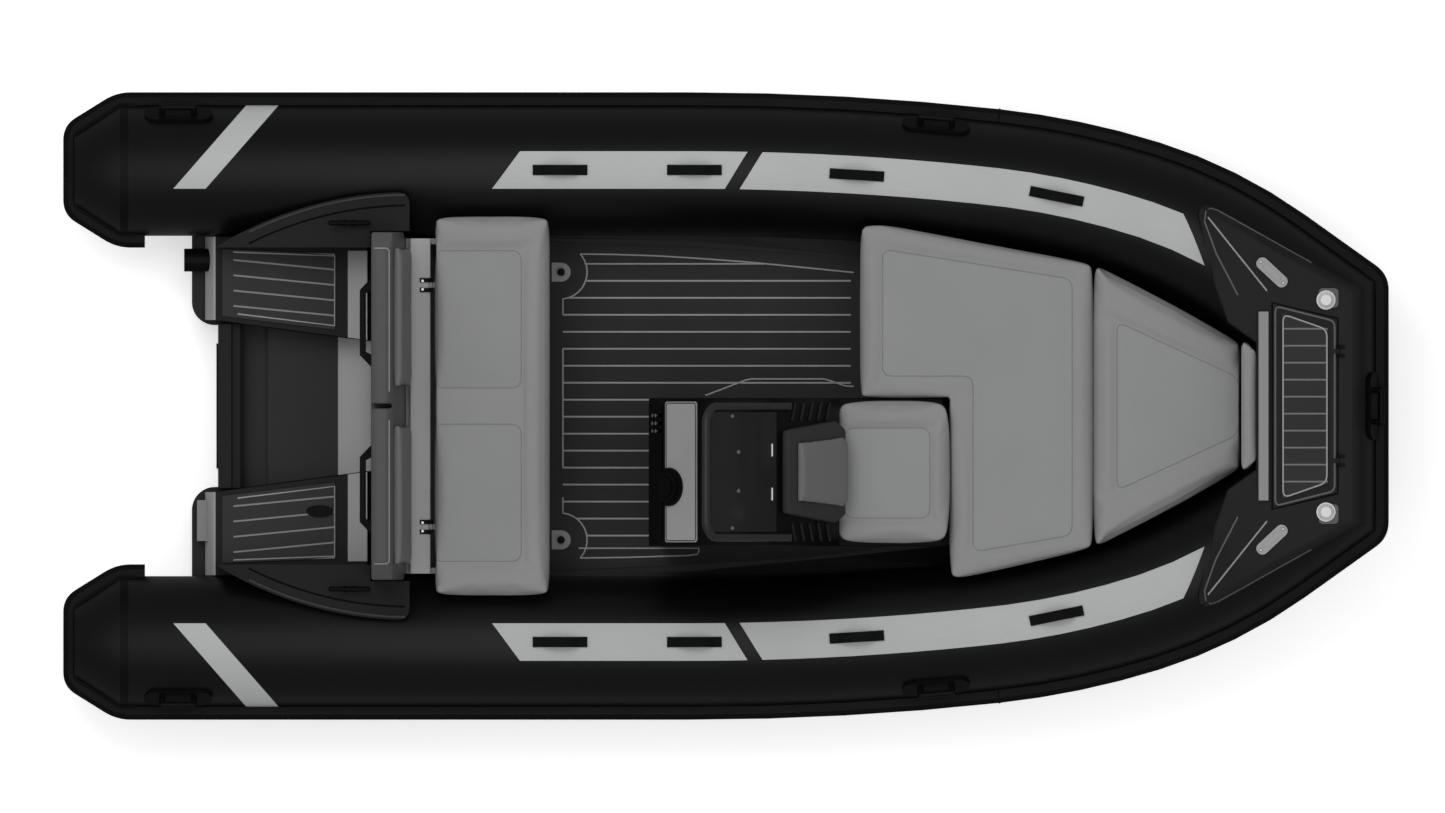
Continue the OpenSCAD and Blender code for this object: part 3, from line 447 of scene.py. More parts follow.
def webbing_finish():
    finish = Finish("black_webbing", specular=0.1)
    grain = finish.grain(grey(22), Scale=700.0, Tone=0.4, Roughness=0.7, Spread=0.15)
    weave = place_group(finish.tree, WEAVE, finish.vector, Pitch=0.0035)
    low = finish.grain(grey(10), Scale=700.0, Tone=0.3)
    woven = mix_colour(finish.tree, weave.outputs["Height"], low.outputs["Color"], grain.outputs["Color"])
    finish.paint(woven, grain)
    finish.bump(weave.outputs["Height"], 0.6, 0.0012)
    return finish.material


def foam_finish(name, level, line_level, groove_z, foot=None):
    """Closed-cell foam decking whose routed lines show the paler layer below a height."""
    finish = Finish(name, specular=0.05)
    tree = finish.tree
    grain = finish.grain(grey(level), Scale=620.0, Tone=0.30, Roughness=0.75, Spread=0.1)
    pale = finish.grain(grey(line_level), Scale=620.0, Tone=0.10)
    x, y, z = axes(tree, finish.vector)
    groove = math_node(tree, "LESS_THAN", z, groove_z)
    if foot:
        # No lines round a foot plate, nor along the starboard edge
        foot_x, foot_y, radius, edge = foot
        off_x = math_node(tree, "SUBTRACT", x, foot_x)
        off_y = math_node(tree, "SUBTRACT", math_node(tree, "ABSOLUTE", y), foot_y)
        across = math_node(tree, "MULTIPLY", off_y, off_y)
        away = math_node(tree, "SQRT", math_node(tree, "MULTIPLY_ADD", off_x, off_x, across))
        groove = math_node(tree, "MULTIPLY", groove, math_node(tree, "GREATER_THAN", away, radius))
        groove = math_node(tree, "MULTIPLY", groove, math_node(tree, "GREATER_THAN", y, edge))
    lined = mix_colour(tree, groove, grain.outputs["Color"], pale.outputs["Color"])
    finish.paint(lined, grain)
    finish.bump(grain.outputs["Height"], 0.5, 0.0008)
    return finish.material


def vinyl_finish(name, panels, inset=grey(144, 0.012), level=139):
    """Grey marine vinyl; the inset panels are a ribbed, slightly darker cloth."""
    finish = Finish(name, specular=0.15)
    tree = finish.tree
    plain = finish.grain(grey(level), Scale=210.0, Tone=0.07, Roughness=0.52, Spread=0.12)
    pebble = place_group(tree, PEBBLE, finish.vector, Scale=520.0)
    colour, height = plain.outputs["Color"], pebble.outputs[0]
    if panels:
        mask = None
        for from_x, to_x, port, port_slope, starboard, starboard_slope in panels:
            area = place_group(tree, PANEL, finish.vector, From_X=from_x, To_X=to_x,
                               Port=port, Port_Slope=port_slope,
                               Starboard=starboard, Starboard_Slope=starboard_slope).outputs[0]
            mask = area if mask is None else math_node(tree, "MAXIMUM", mask, area)
        weave = place_group(tree, WEAVE, finish.vector, Pitch=0.006)
        cloth = finish.grain(inset, Scale=340.0, Tone=0.10)
        dark = finish.grain(tuple(0.88 * c for c in inset[:3]) + (1.0,), Scale=340.0, Tone=0.10)
        woven = mix_colour(tree, weave.outputs["Height"], dark.outputs["Color"], cloth.outputs["Color"])
        colour = mix_colour(tree, mask, colour, woven)
        blend = tree.nodes.new("ShaderNodeMix")
        tree.links.new(mask, blend.inputs[0])
        tree.links.new(height, blend.inputs[2])
        tree.links.new(weave.outputs["Height"], blend.inputs[3])
        height = blend.outputs[0]
    finish.paint(colour, plain)
    finish.bump(height, 0.3, 0.001)
    return finish.material


def pale_banded(name, level, band_level, bands):
    """A dark moulding with pale bands, each between two x and within a half breadth; a band on a slope is
    painted light.
    """
    finish = Finish(name, specular=0.08)
    grain = finish.grain(grey(level), Scale=520.0, Tone=0.18, Roughness=0.48, Spread=0.15)
    # Colour of the pale bands: painted light where a band lies on the slope up to the backrest
    pale = finish.grain(grey(band_level), Scale=520.0, Tone=0.08)
    mask = 0.0
    for from_x, to_x, half in bands:
        area = place_group(finish.tree, PANEL, finish.vector, From_X=from_x, To_X=to_x,
                           Port=half, Starboard=-half)
        mask = math_node(finish.tree, "MAXIMUM", area.outputs[0], mask)
    banded = mix_colour(finish.tree, mask, grain.outputs["Color"], pale.outputs["Color"])
    finish.paint(banded, grain)
    finish.bump(grain.outputs["Height"], 0.3, 0.0006)
    return finish.material


def hull_finish():
    """Painted aluminium: mid grey outside, dark on the deck."""
    finish = Finish("hull_paint", specular=0.2)
    grain = finish.grain(grey(66), Scale=420.0, Tone=0.12, Roughness=0.42, Spread=0.15)
    deck = finish.grain(grey(33), Scale=420.0, Tone=0.15)
    height = axes(finish.tree, finish.vector)["Z"]
    mask = math_node(finish.tree, "GREATER_THAN", height, DECK_PAINT_Z)
    painted = mix_colour(finish.tree, mask, grain.outputs["Color"], deck.outputs["Color"])
    finish.paint(painted, grain)
    finish.bump(grain.outputs["Height"], 0.12, 0.0004)
    return finish.material


def smoked_finish():
    finish = Finish("smoked_acrylic", specular=0.2)
    grain = finish.grain(grey(38), Scale=30.0, Tone=0.2, Roughness=0.06, Spread=0.03)
    finish.paint(grain.outputs["Color"], grain)
    finish.shader.inputs["Alpha"].default_value = 0.82
    return finish.material


# Grained ones give name, colour, grain scale, tone, roughness, its spread, bump strength and bump depth
TUBE = tube_finish()
STRAKE = grained("strake_rubber", grey(9), 500.0, 0.4, 0.45, 0.2, 0.35, 0.0008, specular=0.14)
PATCH = patch_finish()
WEBBING = webbing_finish()
MOULDING = grained("dark_moulding", grey(35), 520.0, 0.18, 0.48, 0.15, 0.3, 0.0006, specular=0.08)
LIGHT_MOULDING = grained("grey_moulding", grey(79), 520.0, 0.14, 0.48, 0.15, 0.3, 0.0006, specular=0.15)
# Painted light: the pale band from x -1.318 to -1.20 on the quarters, and from -1.352 on the well, stands
# for light falling on the slope up to the backrest; the quarters' narrow pale band at x -1.814 to -1.776
# lies at their aft edge
QUARTER_MOULDING = pale_banded("quarter_moulding", 33, 156, [(-1.814, -1.776, 2.0), (-1.318, -1.20, 0.540)])
WELL_MOULDING = pale_banded("well_moulding", 51, 162, [(-1.352, -1.20, 2.0)])
BLACK = grained("black_plastic", grey(9), 600.0, 0.3, 0.42, 0.15, 0.25, 0.0005, specular=0.1)
GLOSS = grained("gloss_black", grey(4), 90.0, 0.3, 0.2, 0.06, 0.03, 0.0003, specular=0.08, coat=0.05)
ALLOY = grained("grey_alloy", grey(137), 700.0, 0.08, 0.46, 0.2, 0.15, 0.0003, specular=0.2)
# The bench bar's alloy is painted paler than the same alloy on the box and lid: painted light that lifts
# the shade of its recess between the backrest and the cushion
BAR_ALLOY_PAINTED_LIGHT = grained("bar_alloy_painted_light", grey(168), 700.0, 0.08, 0.46, 0.2, 0.15, 0.0003, specular=0.2)
# Grey of the shelves' outer rim beads: a painted highlight along the rim
RIM_HIGHLIGHT = grained("rim_highlight", grey(60), 500.0, 0.10, 0.5, 0.1, 0.2, 0.0004, specular=0.15)
RIM = grained("pale_rim", grey(92), 500.0, 0.10, 0.5, 0.1, 0.2, 0.0004, specular=0.15)
SHELL = grained("seat_shell", grey(50), 520.0, 0.16, 0.45, 0.15, 0.3, 0.0006, specular=0.15)
RAIL = grained("rail_paint", grey(38), 500.0, 0.12, 0.34, 0.1, 0.15, 0.0003, specular=0.4)
# Pale finish of the inlaid lines, also used for the painted highlights on the backrest's edges and the
# bow's creases
LINE_AND_HIGHLIGHT = grained("pale_line_and_highlight", grey(150), 620.0, 0.10, 0.7, 0.1, 0.3, 0.0005, specular=0.05)
HULL = hull_finish()
STEEL = grained("brushed_steel", grey(196), 300.0, 0.10, 0.28, 0.18, 0.08, 0.0002, metallic=1.0)
DULL_STEEL = grained("dull_steel", grey(160), 260.0, 0.16, 0.36, 0.18, 0.12, 0.0003, metallic=1.0)
CHROME = grained("chrome", grey(225), 120.0, 0.05, 0.08, 0.05, 0.02, 0.0001, metallic=1.0)
ZINC = grained("dull_zinc", grey(150), 240.0, 0.3, 0.6, 0.2, 0.4, 0.001, metallic=0.6)
PANEL_GREY = grained("dash_grey", grey(148), 500.0, 0.10, 0.42, 0.15, 0.2, 0.0004, specular=0.2)
DECK_FOAM = foam_finish("deck_foam", 51, 155, DECK_LINE_Z - GROOVE, (FOOT_X, FOOT_Y, 0.093, -0.500))
PLATFORM_FOAM = foam_finish("platform_foam", 58, 140, PLATFORM_LINE_Z - GROOVE)
HATCH_FOAM = foam_finish("hatch_foam", 52, 120, HATCH_LINE_Z - GROOVE)
SMOKED = smoked_finish()
SEAM_DARK = grained("seam_thread", grey(122), 300.0, 0.1, 0.6, 0.1, 0.2, 0.0005, specular=0.3)
LENS = grained("lens_plastic", grey(214), 60.0, 0.05, 0.12, 0.05, 0.02, 0.0003, specular=0.5, coat=0.4)

# Nodes whose own shape is shown, with their finish
for node, finish in {
    "boat_hull": HULL, "transom": MOULDING, "well_tray": WELL_MOULDING, "motor_pad": BLACK,
    "drain_trunk": BLACK, "anode": ZINC, "bow_eye": STEEL,
    "tube_patches": PATCH, "webbing_handles": WEBBING, "carry_handles": STRAKE,
    "platform_pads": PLATFORM_FOAM, "stern_cleats": BLACK, "backrest_handles": BLACK,
    "bench_box": ALLOY, "bench_bar": BAR_ALLOY_PAINTED_LIGHT, "lid_hinges": BLACK, "bench_lid": ALLOY,
    "foot_plates": ALLOY, "deck_pads": DECK_FOAM,
    "switch_panel": GLOSS, "dash_panel": PANEL_GREY, "windscreen": SMOKED, "screen_rail": RAIL,
    "bow_locker": MOULDING, "hatch_pad": HATCH_FOAM, "bow_bar": ALLOY,
    "bow_cleats": DULL_STEEL, "bow_lights": LENS}.items():
    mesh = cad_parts[node].data
    mesh.materials.clear()
    mesh.materials.append(finish)

# Mouldings, with their edges rounded as they leave the mould and some plan corners bent:
# corner, directions of its two sides, length bent
BENDS = {name + "_quarter": [((-1.105, side * 0.742), (-1, 0), (0, -side), 0.045)]
         for side, name in SIDES}
BENDS["bow_moulding"] = [bend for side in (1, -1) for bend in (
    ((1.652, side * 0.701), (0.862, -side * 0.507), (-0.316, -side * 0.949), 0.019),
    ((1.640, side * 0.665), (0.316, side * 0.949), (0.244, -side * 0.970), 0.019))]
for node, name, radius, finish, slot, body in [
    ("port_quarter", "port_quarter_moulding", 0.008, QUARTER_MOULDING, "moulding", "boat"),
    ("starboard_quarter", "starboard_quarter_moulding", 0.008, QUARTER_MOULDING, "moulding", "boat"),
    ("backrest", "backrest_moulding", 0.010, LIGHT_MOULDING, "moulding", "boat"),
    ("console", "console_body", 0.012, BLACK, "black_plastic", "boat"),
    ("seat_back", "seat_back_shell", 0.010, SHELL, "black_plastic", "boat"),
    ("helm_bezel", "helm_cover", 0.009, BLACK, "black_plastic", "boat"),
    ("bow_moulding", "bow_saddle_moulding", 0.006, MOULDING, "moulding", "boat"),
    ("bow_hatch", "bow_hatch_lid", 0.003, MOULDING, "moulding", "hatch")]:
    piece = copy_of(node, name)
    for corner, one, other, length in BENDS.get(node, []):
        bend_corner(piece, Vector(corner), Vector(one).normalized(), Vector(other).normalized(), length)
    round_edges(piece, radius)
    dress(piece, body, finish, slot, node)

# Tubes: the same skins with their facets blended
for node in ("port_tube", "bow_tube", "starboard_tube"):
    tube = copy_of(node, node + "_skin")
    smooth(tube, 40)
    dress(tube, "boat", TUBE, "tube_fabric", node)

# Rub strakes, bent round the corners of the collar instead of meeting at a point
strake = copy_of("bow_strake", "bow_rub_strake")
tip = max(strake.data.vertices, key=lambda v: v.co.x + 0.01 * v.co.y).co.xy
butt_x = min(v.co.x for v in strake.data.vertices) + 0.02
butt_ring = [v.co.copy() for v in strake.data.vertices if v.co.x < butt_x and v.co.y > 0]
for side in (1, -1):
    front = Vector((0, -side))
    mitre = Vector((1, side * MITRE)).normalized()
    aft = mitre * (2 * front.dot(mitre)) - front
    bend_corner(strake, Vector((tip.x, side * tip.y)), aft, front, BOW_BEND)
dress(strake, "boat", STRAKE, "strake_rubber", "bow_strake")
for side, name in SIDES:
    strake = copy_of(name + "_strake", name + "_rub_strake")
    line = [(CONE_X + STRAKE_END, -TUBE_R), (CONE_X, -TUBE_R), (CONE_X - CONE_L, -CONE_END_R),
            (CONE_X - CONE_L, CONE_END_R), (CONE_X, TUBE_R), (0.0, TUBE_R)]
    line = [Vector((x, side * (TUBE_Y + half))) for x, half in line]
    for before, here, after in zip(line, line[1:], line[2:]):
        bend_corner(strake, here, (before - here).normalized(), (after - here).normalized(), CONE_BEND)
    dress(strake, "boat", STRAKE, "strake_rubber", name + "_strake")


# Cushions


def held_group(piece, seams, base_z, reach):
    """Vertex group that holds a pad's underside and the sewn lines on its top."""
    group = piece.vertex_groups.new(name="held")
    for vertex in piece.data.vertices:
        place = vertex.co
        hold = place.z < base_z + 0.004
        for a, b in seams:
            ab = b - a
            flat = Vector((place.x, place.y)) - a
            t = max(0.0, min(1.0, flat.dot(ab) / ab.length_squared))
            if (flat - ab * t).length < reach and place.z > base_z + 0.03:
                hold = True
        if hold:
            group.add([vertex.index], 1.0, "REPLACE")


def swell(piece, pressure, cap, floor_z):
    """Blows a remeshed pad up by a short cloth run, and limits how far each point moves."""
    before = np.array([v.co for v in piece.data.vertices])
    cloth = piece.modifiers.new("swell", "CLOTH")
    cloth.settings.use_pressure = True
    cloth.settings.uniform_pressure_force = pressure
    cloth.settings.effector_weights.gravity = 0.0
    cloth.settings.vertex_group_mass = "held"
    cloth.settings.quality = 4
    cloth.settings.tension_stiffness = 12
    cloth.settings.compression_stiffness = 12
    cloth.settings.shear_stiffness = 6
    cloth.settings.bending_stiffness = 0.6
    cloth.collision_settings.use_collision = False
    for step in range(1, 15):
        bpy.context.scene.frame_set(step)
    take(piece)
    bpy.ops.object.modifier_apply(modifier="swell")
    bpy.context.scene.frame_set(1)
    after = np.array([v.co for v in piece.data.vertices])
    move = after - before
    length = np.linalg.norm(move, axis=1, keepdims=True)
    after = before + move * np.minimum(1.0, cap / np.maximum(length, 1e-9))
    after[:, 2] = np.maximum(after[:, 2], floor_z)
    piece.data.vertices.foreach_set("co", after.astype(np.float32).ravel())
    piece.data.update()


def sewn_pad(node, name, body, finish, voxel, outline, shrink=PAD_SHRINK, rise=PAD_RISE, pressure=3.0):
    """A soft pad over a node's solid, sewn down along closed outlines in plan."""
    piece = copy_of(node, name)
    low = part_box(node)[0]
    open_mesh(piece)
    bpy.ops.transform.shrink_fatten(value=-shrink)
    leave_edit()
    shift = low.z - min(v.co.z for v in piece.data.vertices)
    for vertex in piece.data.vertices:
        if vertex.co.z < low.z + shrink * 1.5:
            vertex.co.z += shift
    piece.data.remesh_voxel_size = voxel
    take(piece)
    bpy.ops.object.voxel_remesh()
    seams = []
    for loop in outline:
        points = [Vector(p) for p in loop]
        seams += list(zip(points, points[1:] + points[:1]))
    held_group(piece, seams, low.z, voxel * 1.1)
    swell(piece, pressure, rise, low.z)
    soft = piece.modifiers.new("soft", "SMOOTH")
    soft.factor = 0.5
    soft.iterations = 4
    take(piece)
    bpy.ops.object.modifier_apply(modifier="soft")
    bpy.ops.object.shade_smooth()
    piece.vertex_groups.clear()
    dress(piece, body, finish, "upholstery", node)
    return piece


def box_loop(x0, x1, y0, y1):
    return [(x0, y0), (x1, y0), (x1, y1), (x0, y1)]


bench_loops = [box_loop(-1.024, -0.715, 0.063, 0.540), box_loop(-1.024, -0.715, -0.540, -0.063)]
bench_panels = [(-1.04, -0.715, 0.540, 0, 0.063, 0), (-1.04, -0.715, -0.063, 0, -0.540, 0)]
bench_vinyl = vinyl_finish("bench_vinyl", bench_panels, grey(141, 0.012))
bench_pad = sewn_pad("bench_cushion", "bench_seat_cushion", "lid", bench_vinyl, 0.008, bench_loops)

console_vinyl = vinyl_finish("console_vinyl", [(0.410, 0.705, -0.076, 0, -0.389, 0)])
console_loop = box_loop(0.410, 0.705, -0.389, -0.076)
console_pad = sewn_pad("console_cushion", "console_seat_cushion", "boat", console_vinyl,
                       0.007, [console_loop])

slope_port = (0.441 - 0.545) / (1.199 - 0.540)
slope_low = (0.507 - 0.448) / (1.199 - 0.855)
aft_vinyl = vinyl_finish("bow_aft_vinyl", [
    (0.540, 1.199, 0.545, slope_port, 0.104, 0), (0.855, 1.199, 0.496, slope_port, -0.507, slope_low)])
aft_loop = [(0.540, 0.545), (1.199, 0.441), (1.199, -0.448),
            (0.855, -0.507), (0.855, 0.104), (0.540, 0.104)]
aft_pad = sewn_pad("bow_cushion_aft", "bow_aft_cushion", "boat", aft_vinyl, 0.009, [aft_loop])

slope_fore = (0.097 - 0.293) / (1.782 - 1.355)
fore_vinyl = vinyl_finish("bow_fore_vinyl", [(1.355, 1.776, 0.293, slope_fore, -0.293, -slope_fore)])
fore_loop = [(1.355, 0.293), (1.776, 0.099), (1.776, -0.099), (1.355, -0.293)]
fore_pad = sewn_pad("bow_cushion_fore", "bow_fore_cushion", "boat", fore_vinyl, 0.008, [fore_loop])

plain_vinyl = vinyl_finish("pad_vinyl", [])
dark_vinyl = vinyl_finish("back_vinyl", [], level=106)
for node, name, voxel, vinyl in [("backrest_pads", "backrest_cushions", 0.006, dark_vinyl),
                                 ("seat_back_pad", "console_back_cushion", 0.005, dark_vinyl),
                                 ("bow_backrest", "bow_back_cushion", 0.006, plain_vinyl)]:
    sewn_pad(node, name, "boat", vinyl, voxel, [], shrink=0.004, rise=0.008, pressure=2.5)

SEAMS = [
    ("bench_sewn_lines", bench_pad, bench_loops),
    ("console_sewn_lines", console_pad, [console_loop]),
    ("bow_aft_sewn_lines", aft_pad, [aft_loop]),
    ("bow_fore_sewn_lines", fore_pad, [fore_loop])]

# Trim


def bead(name, points, radius, closed=False, flat=1.0):
    """A bead along a line of points, flattened in height where asked."""
    let_go()
    bpy.ops.curve.primitive_bezier_curve_add(location=(0, 0, 0))
    piece = bpy.context.object
    line_data = piece.data
    line_data.splines.clear()
    line = line_data.splines.new("POLY")
    line.points.add(len(points) - 1)
    for slot, point in zip(line.points, points):
        slot.co = (point[0], point[1], point[2], 1.0)
    line.use_cyclic_u = closed
    line_data.dimensions = "3D"
    line_data.bevel_depth = radius
    line_data.bevel_resolution = 2
    line_data.use_fill_caps = True
    bpy.ops.object.convert(target="MESH")
    piece = bpy.context.object
    piece.name = name
    piece.data.name = name
    if flat != 1.0:
        middle = points[0][2]
        for vertex in piece.data.vertices:
            vertex.co.z = middle + (vertex.co.z - middle) * flat
    smooth(piece, 50)
    return piece


def joined(name, pieces):
    let_go()
    for piece in pieces:
        piece.select_set(True)
    bpy.context.view_layer.objects.active = pieces[0]
    if len(pieces) > 1:
        bpy.ops.object.join()
    whole = bpy.context.object
    whole.name = name
    whole.data.name = name
    return whole


def round_loop(points, radius, steps=5):
    """A closed plan outline with its corners rounded."""
    out = []
    count = len(points)
    for i in range(count):
        before, here, after = (Vector(points[(i + k) % count]) for k in (-1, 0, 1))
        a = (before - here).normalized()
        b = (after - here).normalized()
        reach = min(radius, (before - here).length / 2, (after - here).length / 2)
        for k in range(steps + 1):
            t = k / steps
            out.append(here + a * reach * (1 - t) ** 2 + b * reach * t ** 2)
    return [tuple(p) for p in out]


def surface(piece):
    """A way to find the height of a piece's top at a plan point."""
    mesh = piece.data
    tree = BVHTree.FromPolygons([v.co for v in mesh.vertices], [p.vertices for p in mesh.polygons])

    def top(x, y):
        hit = tree.ray_cast(Vector((x, y, 3.0)), Vector((0, 0, -1)))
        return hit[0].z if hit[0] else None

    return top


def dense(points, step=0.02, closed=True):
    """The same outline with points no further apart than a step."""
    out = []
    ends = points[1:] + points[:1] if closed else points[1:]
    for a, b in zip(points, ends):
        a, b = Vector(a), Vector(b)
        parts = max(1, int((b - a).length / step))
        out += [tuple(a.lerp(b, k / parts)) for k in range(parts)]
    if not closed:
        out.append(tuple(points[-1]))
    return out


def laid_bead(name, piece, outline, radius, lift, closed=True, flat=1.0):
    """A bead that lies on a piece's top along a plan outline."""
    top = surface(piece)
    points = []
    for x, y in dense(outline, closed=closed):
        z = top(x, y)
        if z is not None:
            points.append((x, y, z + lift))
    return bead(name, points, radius, closed, flat)


def turned_to(piece, place, normal):
    piece.rotation_euler = Vector(normal).to_track_quat("Z", "Y").to_euler()
    piece.location = place
    settle(piece)


def screw_head(place, normal, radius):
    """A domed screw head with a sunk socket."""
    let_go()
    bpy.ops.mesh.primitive_cylinder_add(vertices=20, radius=radius, depth=radius * 0.9)
    head = bpy.context.object
    pick_faces(head, lambda c, n: n.z > 0.9)
    bpy.ops.mesh.inset(thickness=radius * 0.25)
    bpy.ops.transform.translate(value=(0, 0, radius * 0.18))
    bpy.ops.mesh.inset(thickness=radius * 0.3)
    bpy.ops.mesh.extrude_region_move(TRANSFORM_OT_translate={"value": (0, 0, -radius * 0.35)})
    leave_edit()
    turned_to(head, place, normal)
    smooth(head, 40)
    return head


def plate(place, size, corner):
    """A thin flat plate with rounded corners."""
    let_go()
    bpy.ops.mesh.primitive_cube_add(size=1, location=place)
    piece = bpy.context.object
    piece.scale = size
    settle(piece)
    open_mesh(piece)
    bpy.ops.mesh.select_mode(type="EDGE")
    bpy.ops.mesh.select_all(action="DESELECT")
    leave_edit()
    for edge in piece.data.edges:
        a, b = (piece.data.vertices[i].co for i in edge.vertices)
        edge.select = abs(a.z - b.z) > size[2] / 2
    bpy.ops.object.mode_set(mode="EDIT")
    bpy.ops.mesh.bevel(offset=corner, segments=5)
    leave_edit()
    smooth(piece, 30)
    return piece


# Sewn lines around the cushions' panels
for name, cushion, loops in SEAMS:
    lines = [laid_bead(name, cushion, round_loop(loop, 0.035), 0.0013, 0.0002) for loop in loops]
    line = joined(name, lines)
    dress(line, "lid" if cushion.name.startswith("bench") else "boat", SEAM_DARK, "upholstery")

# Screws in the bench hinges' leaves
UP = (0, 0, 1)
heads = [screw_head((-1.058, y + s * 0.0145, 0.4935), UP, 0.0062) for y in (-0.42, 0.42) for s in (-1, 1)]
dress(joined("hinge_screws", heads), "boat", CHROME, "fittings")

# Bolts through the screen, which falls forward from its top edge
SCREEN_X, SCREEN_Z, SCREEN_DROP, SCREEN_RUN = -0.073, 1.250, 360, 299
SCREEN_N = (0.769, 0, 0.639)
BOLT_LIFT = 0.0045
heads = []
for x, y in [(0.014, -0.035), (0.035, -0.160), (0.035, -0.295), (0.014, -0.424)]:
    z = SCREEN_Z - (x - SCREEN_X) * SCREEN_DROP / SCREEN_RUN
    heads.append(screw_head((x + SCREEN_N[0] * BOLT_LIFT, y, z + SCREEN_N[2] * BOLT_LIFT), SCREEN_N, 0.007))
dress(joined("screen_bolts", heads), "boat", STEEL, "fittings")

# Chrome toggles on the switch panel, two rows of three; the panel leans forward from its foot
SWITCH_X, SWITCH_Z, LEAN_X, LEAN_Z = -0.271, 0.700, 0.3714, 0.9285
TOGGLE_LIFT = 0.0165
heads = []
for row in range(2):
    along = 0.108 - 0.030 * row
    x = SWITCH_X + LEAN_X * along - LEAN_Z * TOGGLE_LIFT
    z = SWITCH_Z + LEAN_Z * along + LEAN_X * TOGGLE_LIFT
    heads += [screw_head((x, -0.033 - 0.027 * i, z), (-LEAN_Z, 0, LEAN_X), 0.0068) for i in range(3)]
dress(joined("switch_toggles", heads), "boat", CHROME, "fittings")

# Pale lines inlaid round the deck, platform and hatch pads


def mirrored(line):
    return [(x, -y) for x, y in line]


def arc(x, y, radius, start, end, steps=14):
    turns = [math.radians(start + (end - start) * k / steps) for k in range(steps + 1)]
    return [(x + radius * math.cos(turn), y + radius * math.sin(turn)) for turn in turns]


def inlay(name, lines, z, width, finish, body, slot, closed=False):
    """Flat lines let into a pad's top."""
    strips = [bead(name, [(x, y, z) for x, y in line], width / 2, closed, 0.2) for line in lines]
    dress(joined(name, strips), body, finish, slot)


deck_edge = [(-0.510, 0.528), (-0.400, 0.527), (-0.250, 0.522), (-0.100, 0.513),
             (0.050, 0.502), (0.200, 0.488), (0.440, 0.464)]
deck_end = arc(FOOT_X, FOOT_Y, 0.094, 41.7, -83.9) + [(-0.570, 0.3175)]
middle_end = [(-0.570, 0.199), (-0.570, -0.214)]
console_edge = [(-0.075, 0.037), (-0.045, 0.048), (0.065, 0.090), (0.085, 0.094),
                (0.335, 0.094), (0.352, 0.090), (0.410, 0.070), (0.440, 0.068)]
starboard_edge = [(-0.510, -0.528), (-0.350, -0.526), (-0.130, -0.519), (-0.103, -0.515),
                  (-0.098, -0.505), (-0.098, -0.494), (-0.515, -0.494)]
outer_plank = [(-0.490, 0.494), (0.130, 0.494)]
deck_lines = [deck_edge, deck_end, starboard_edge, mirrored(deck_end),
              middle_end, console_edge, outer_plank]
inlay("deck_border_lines", deck_lines, DECK_LINE_Z, LINE_W, LINE_AND_HIGHLIGHT, "boat", "deck_foam")

platform_edge = [(-1.715, 0.535), (-1.363, 0.5215), (-1.363, 0.279), (-1.700, 0.320)]
inlay("platform_border_lines", [platform_edge, mirrored(platform_edge)],
      PLATFORM_LINE_Z, LINE_W, LINE_AND_HIGHLIGHT, "boat", "deck_foam")

hatch_edge = [(1.905, 0.347), (2.111, 0.295), (2.111, -0.295), (1.905, -0.347)]
inlay("hatch_rim_line", [round_loop(hatch_edge, 0.02)], HATCH_RIM_Z, 0.006, RIM, "hatch", "moulding", True)
teak_edge = [(1.932, 0.319), (2.084, 0.266), (2.084, -0.266), (1.932, -0.319)]
inlay("hatch_border_line", [round_loop(teak_edge, 0.025)],
      HATCH_LINE_Z, LINE_W, LINE_AND_HIGHLIGHT, "hatch", "deck_foam", True)

# Rims of the cleat shelves, whose outer edge is an arc, with a painted highlight on the outer rim bead, and
# painted highlights along the backrest's edges
SHELF_X, SHELF_Y, SHELF_SWEEP = -1.103, -0.541, 1.284
for side, name in SIDES:
    shelf = bpy.data.objects[name + "_quarter_moulding"]
    for label, inset, radius, finish in (("groove", 0.046, 0.0032, GLOSS),
                                         ("rim", 0.010, 0.0045, RIM_HIGHLIGHT)):
        sweep = SHELF_SWEEP - inset
        line = [(x, side * (math.sqrt(sweep ** 2 - (x - SHELF_X) ** 2) + SHELF_Y))
                for x in np.linspace(-1.66, -1.118, 24)]
        ridge = laid_bead(f"{name}_shelf_{label}", shelf, line, radius, 0.0, False)
        dress(ridge, "boat", finish, "moulding")
    back = bpy.data.objects["backrest_moulding"]
    # Pale beads on the backrest's front top edge and its ends: painted highlights where its edges catch the
    # light
    edge = [(-1.174, side * 0.050), (-1.174, side * 0.540), (-1.182, side * 0.548), (-1.225, side * 0.548)]
    dress(laid_bead(name + "_backrest_edge_highlight", back, edge, 0.0022, 0.0, False), "boat", LINE_AND_HIGHLIGHT, "moulding")

# Painted highlights along the creases, and raised rims, on the bow moulding's wings
saddle = bpy.data.objects["bow_saddle_moulding"]
for side, name in SIDES:
    # The crease bead is a pale line painted as the highlight on the crease
    crease = [(1.672, side * 0.655), (1.876, side * 0.400)]
    dress(laid_bead(name + "_bow_crease_highlight", saddle, crease, 0.003, 0.0, False), "boat", LINE_AND_HIGHLIGHT, "moulding")
    rim = [(1.775, 0.385), (1.700, 0.530), (1.660, 0.640), (1.664, 0.676),
           (1.680, 0.686), (1.706, 0.678), (2.030, 0.497)]
    rim = [(x, side * y) for x, y in rim]
    dress(laid_bead(name + "_bow_rim", saddle, rim, 0.0035, -0.001, False), "boat", RIM, "moulding")

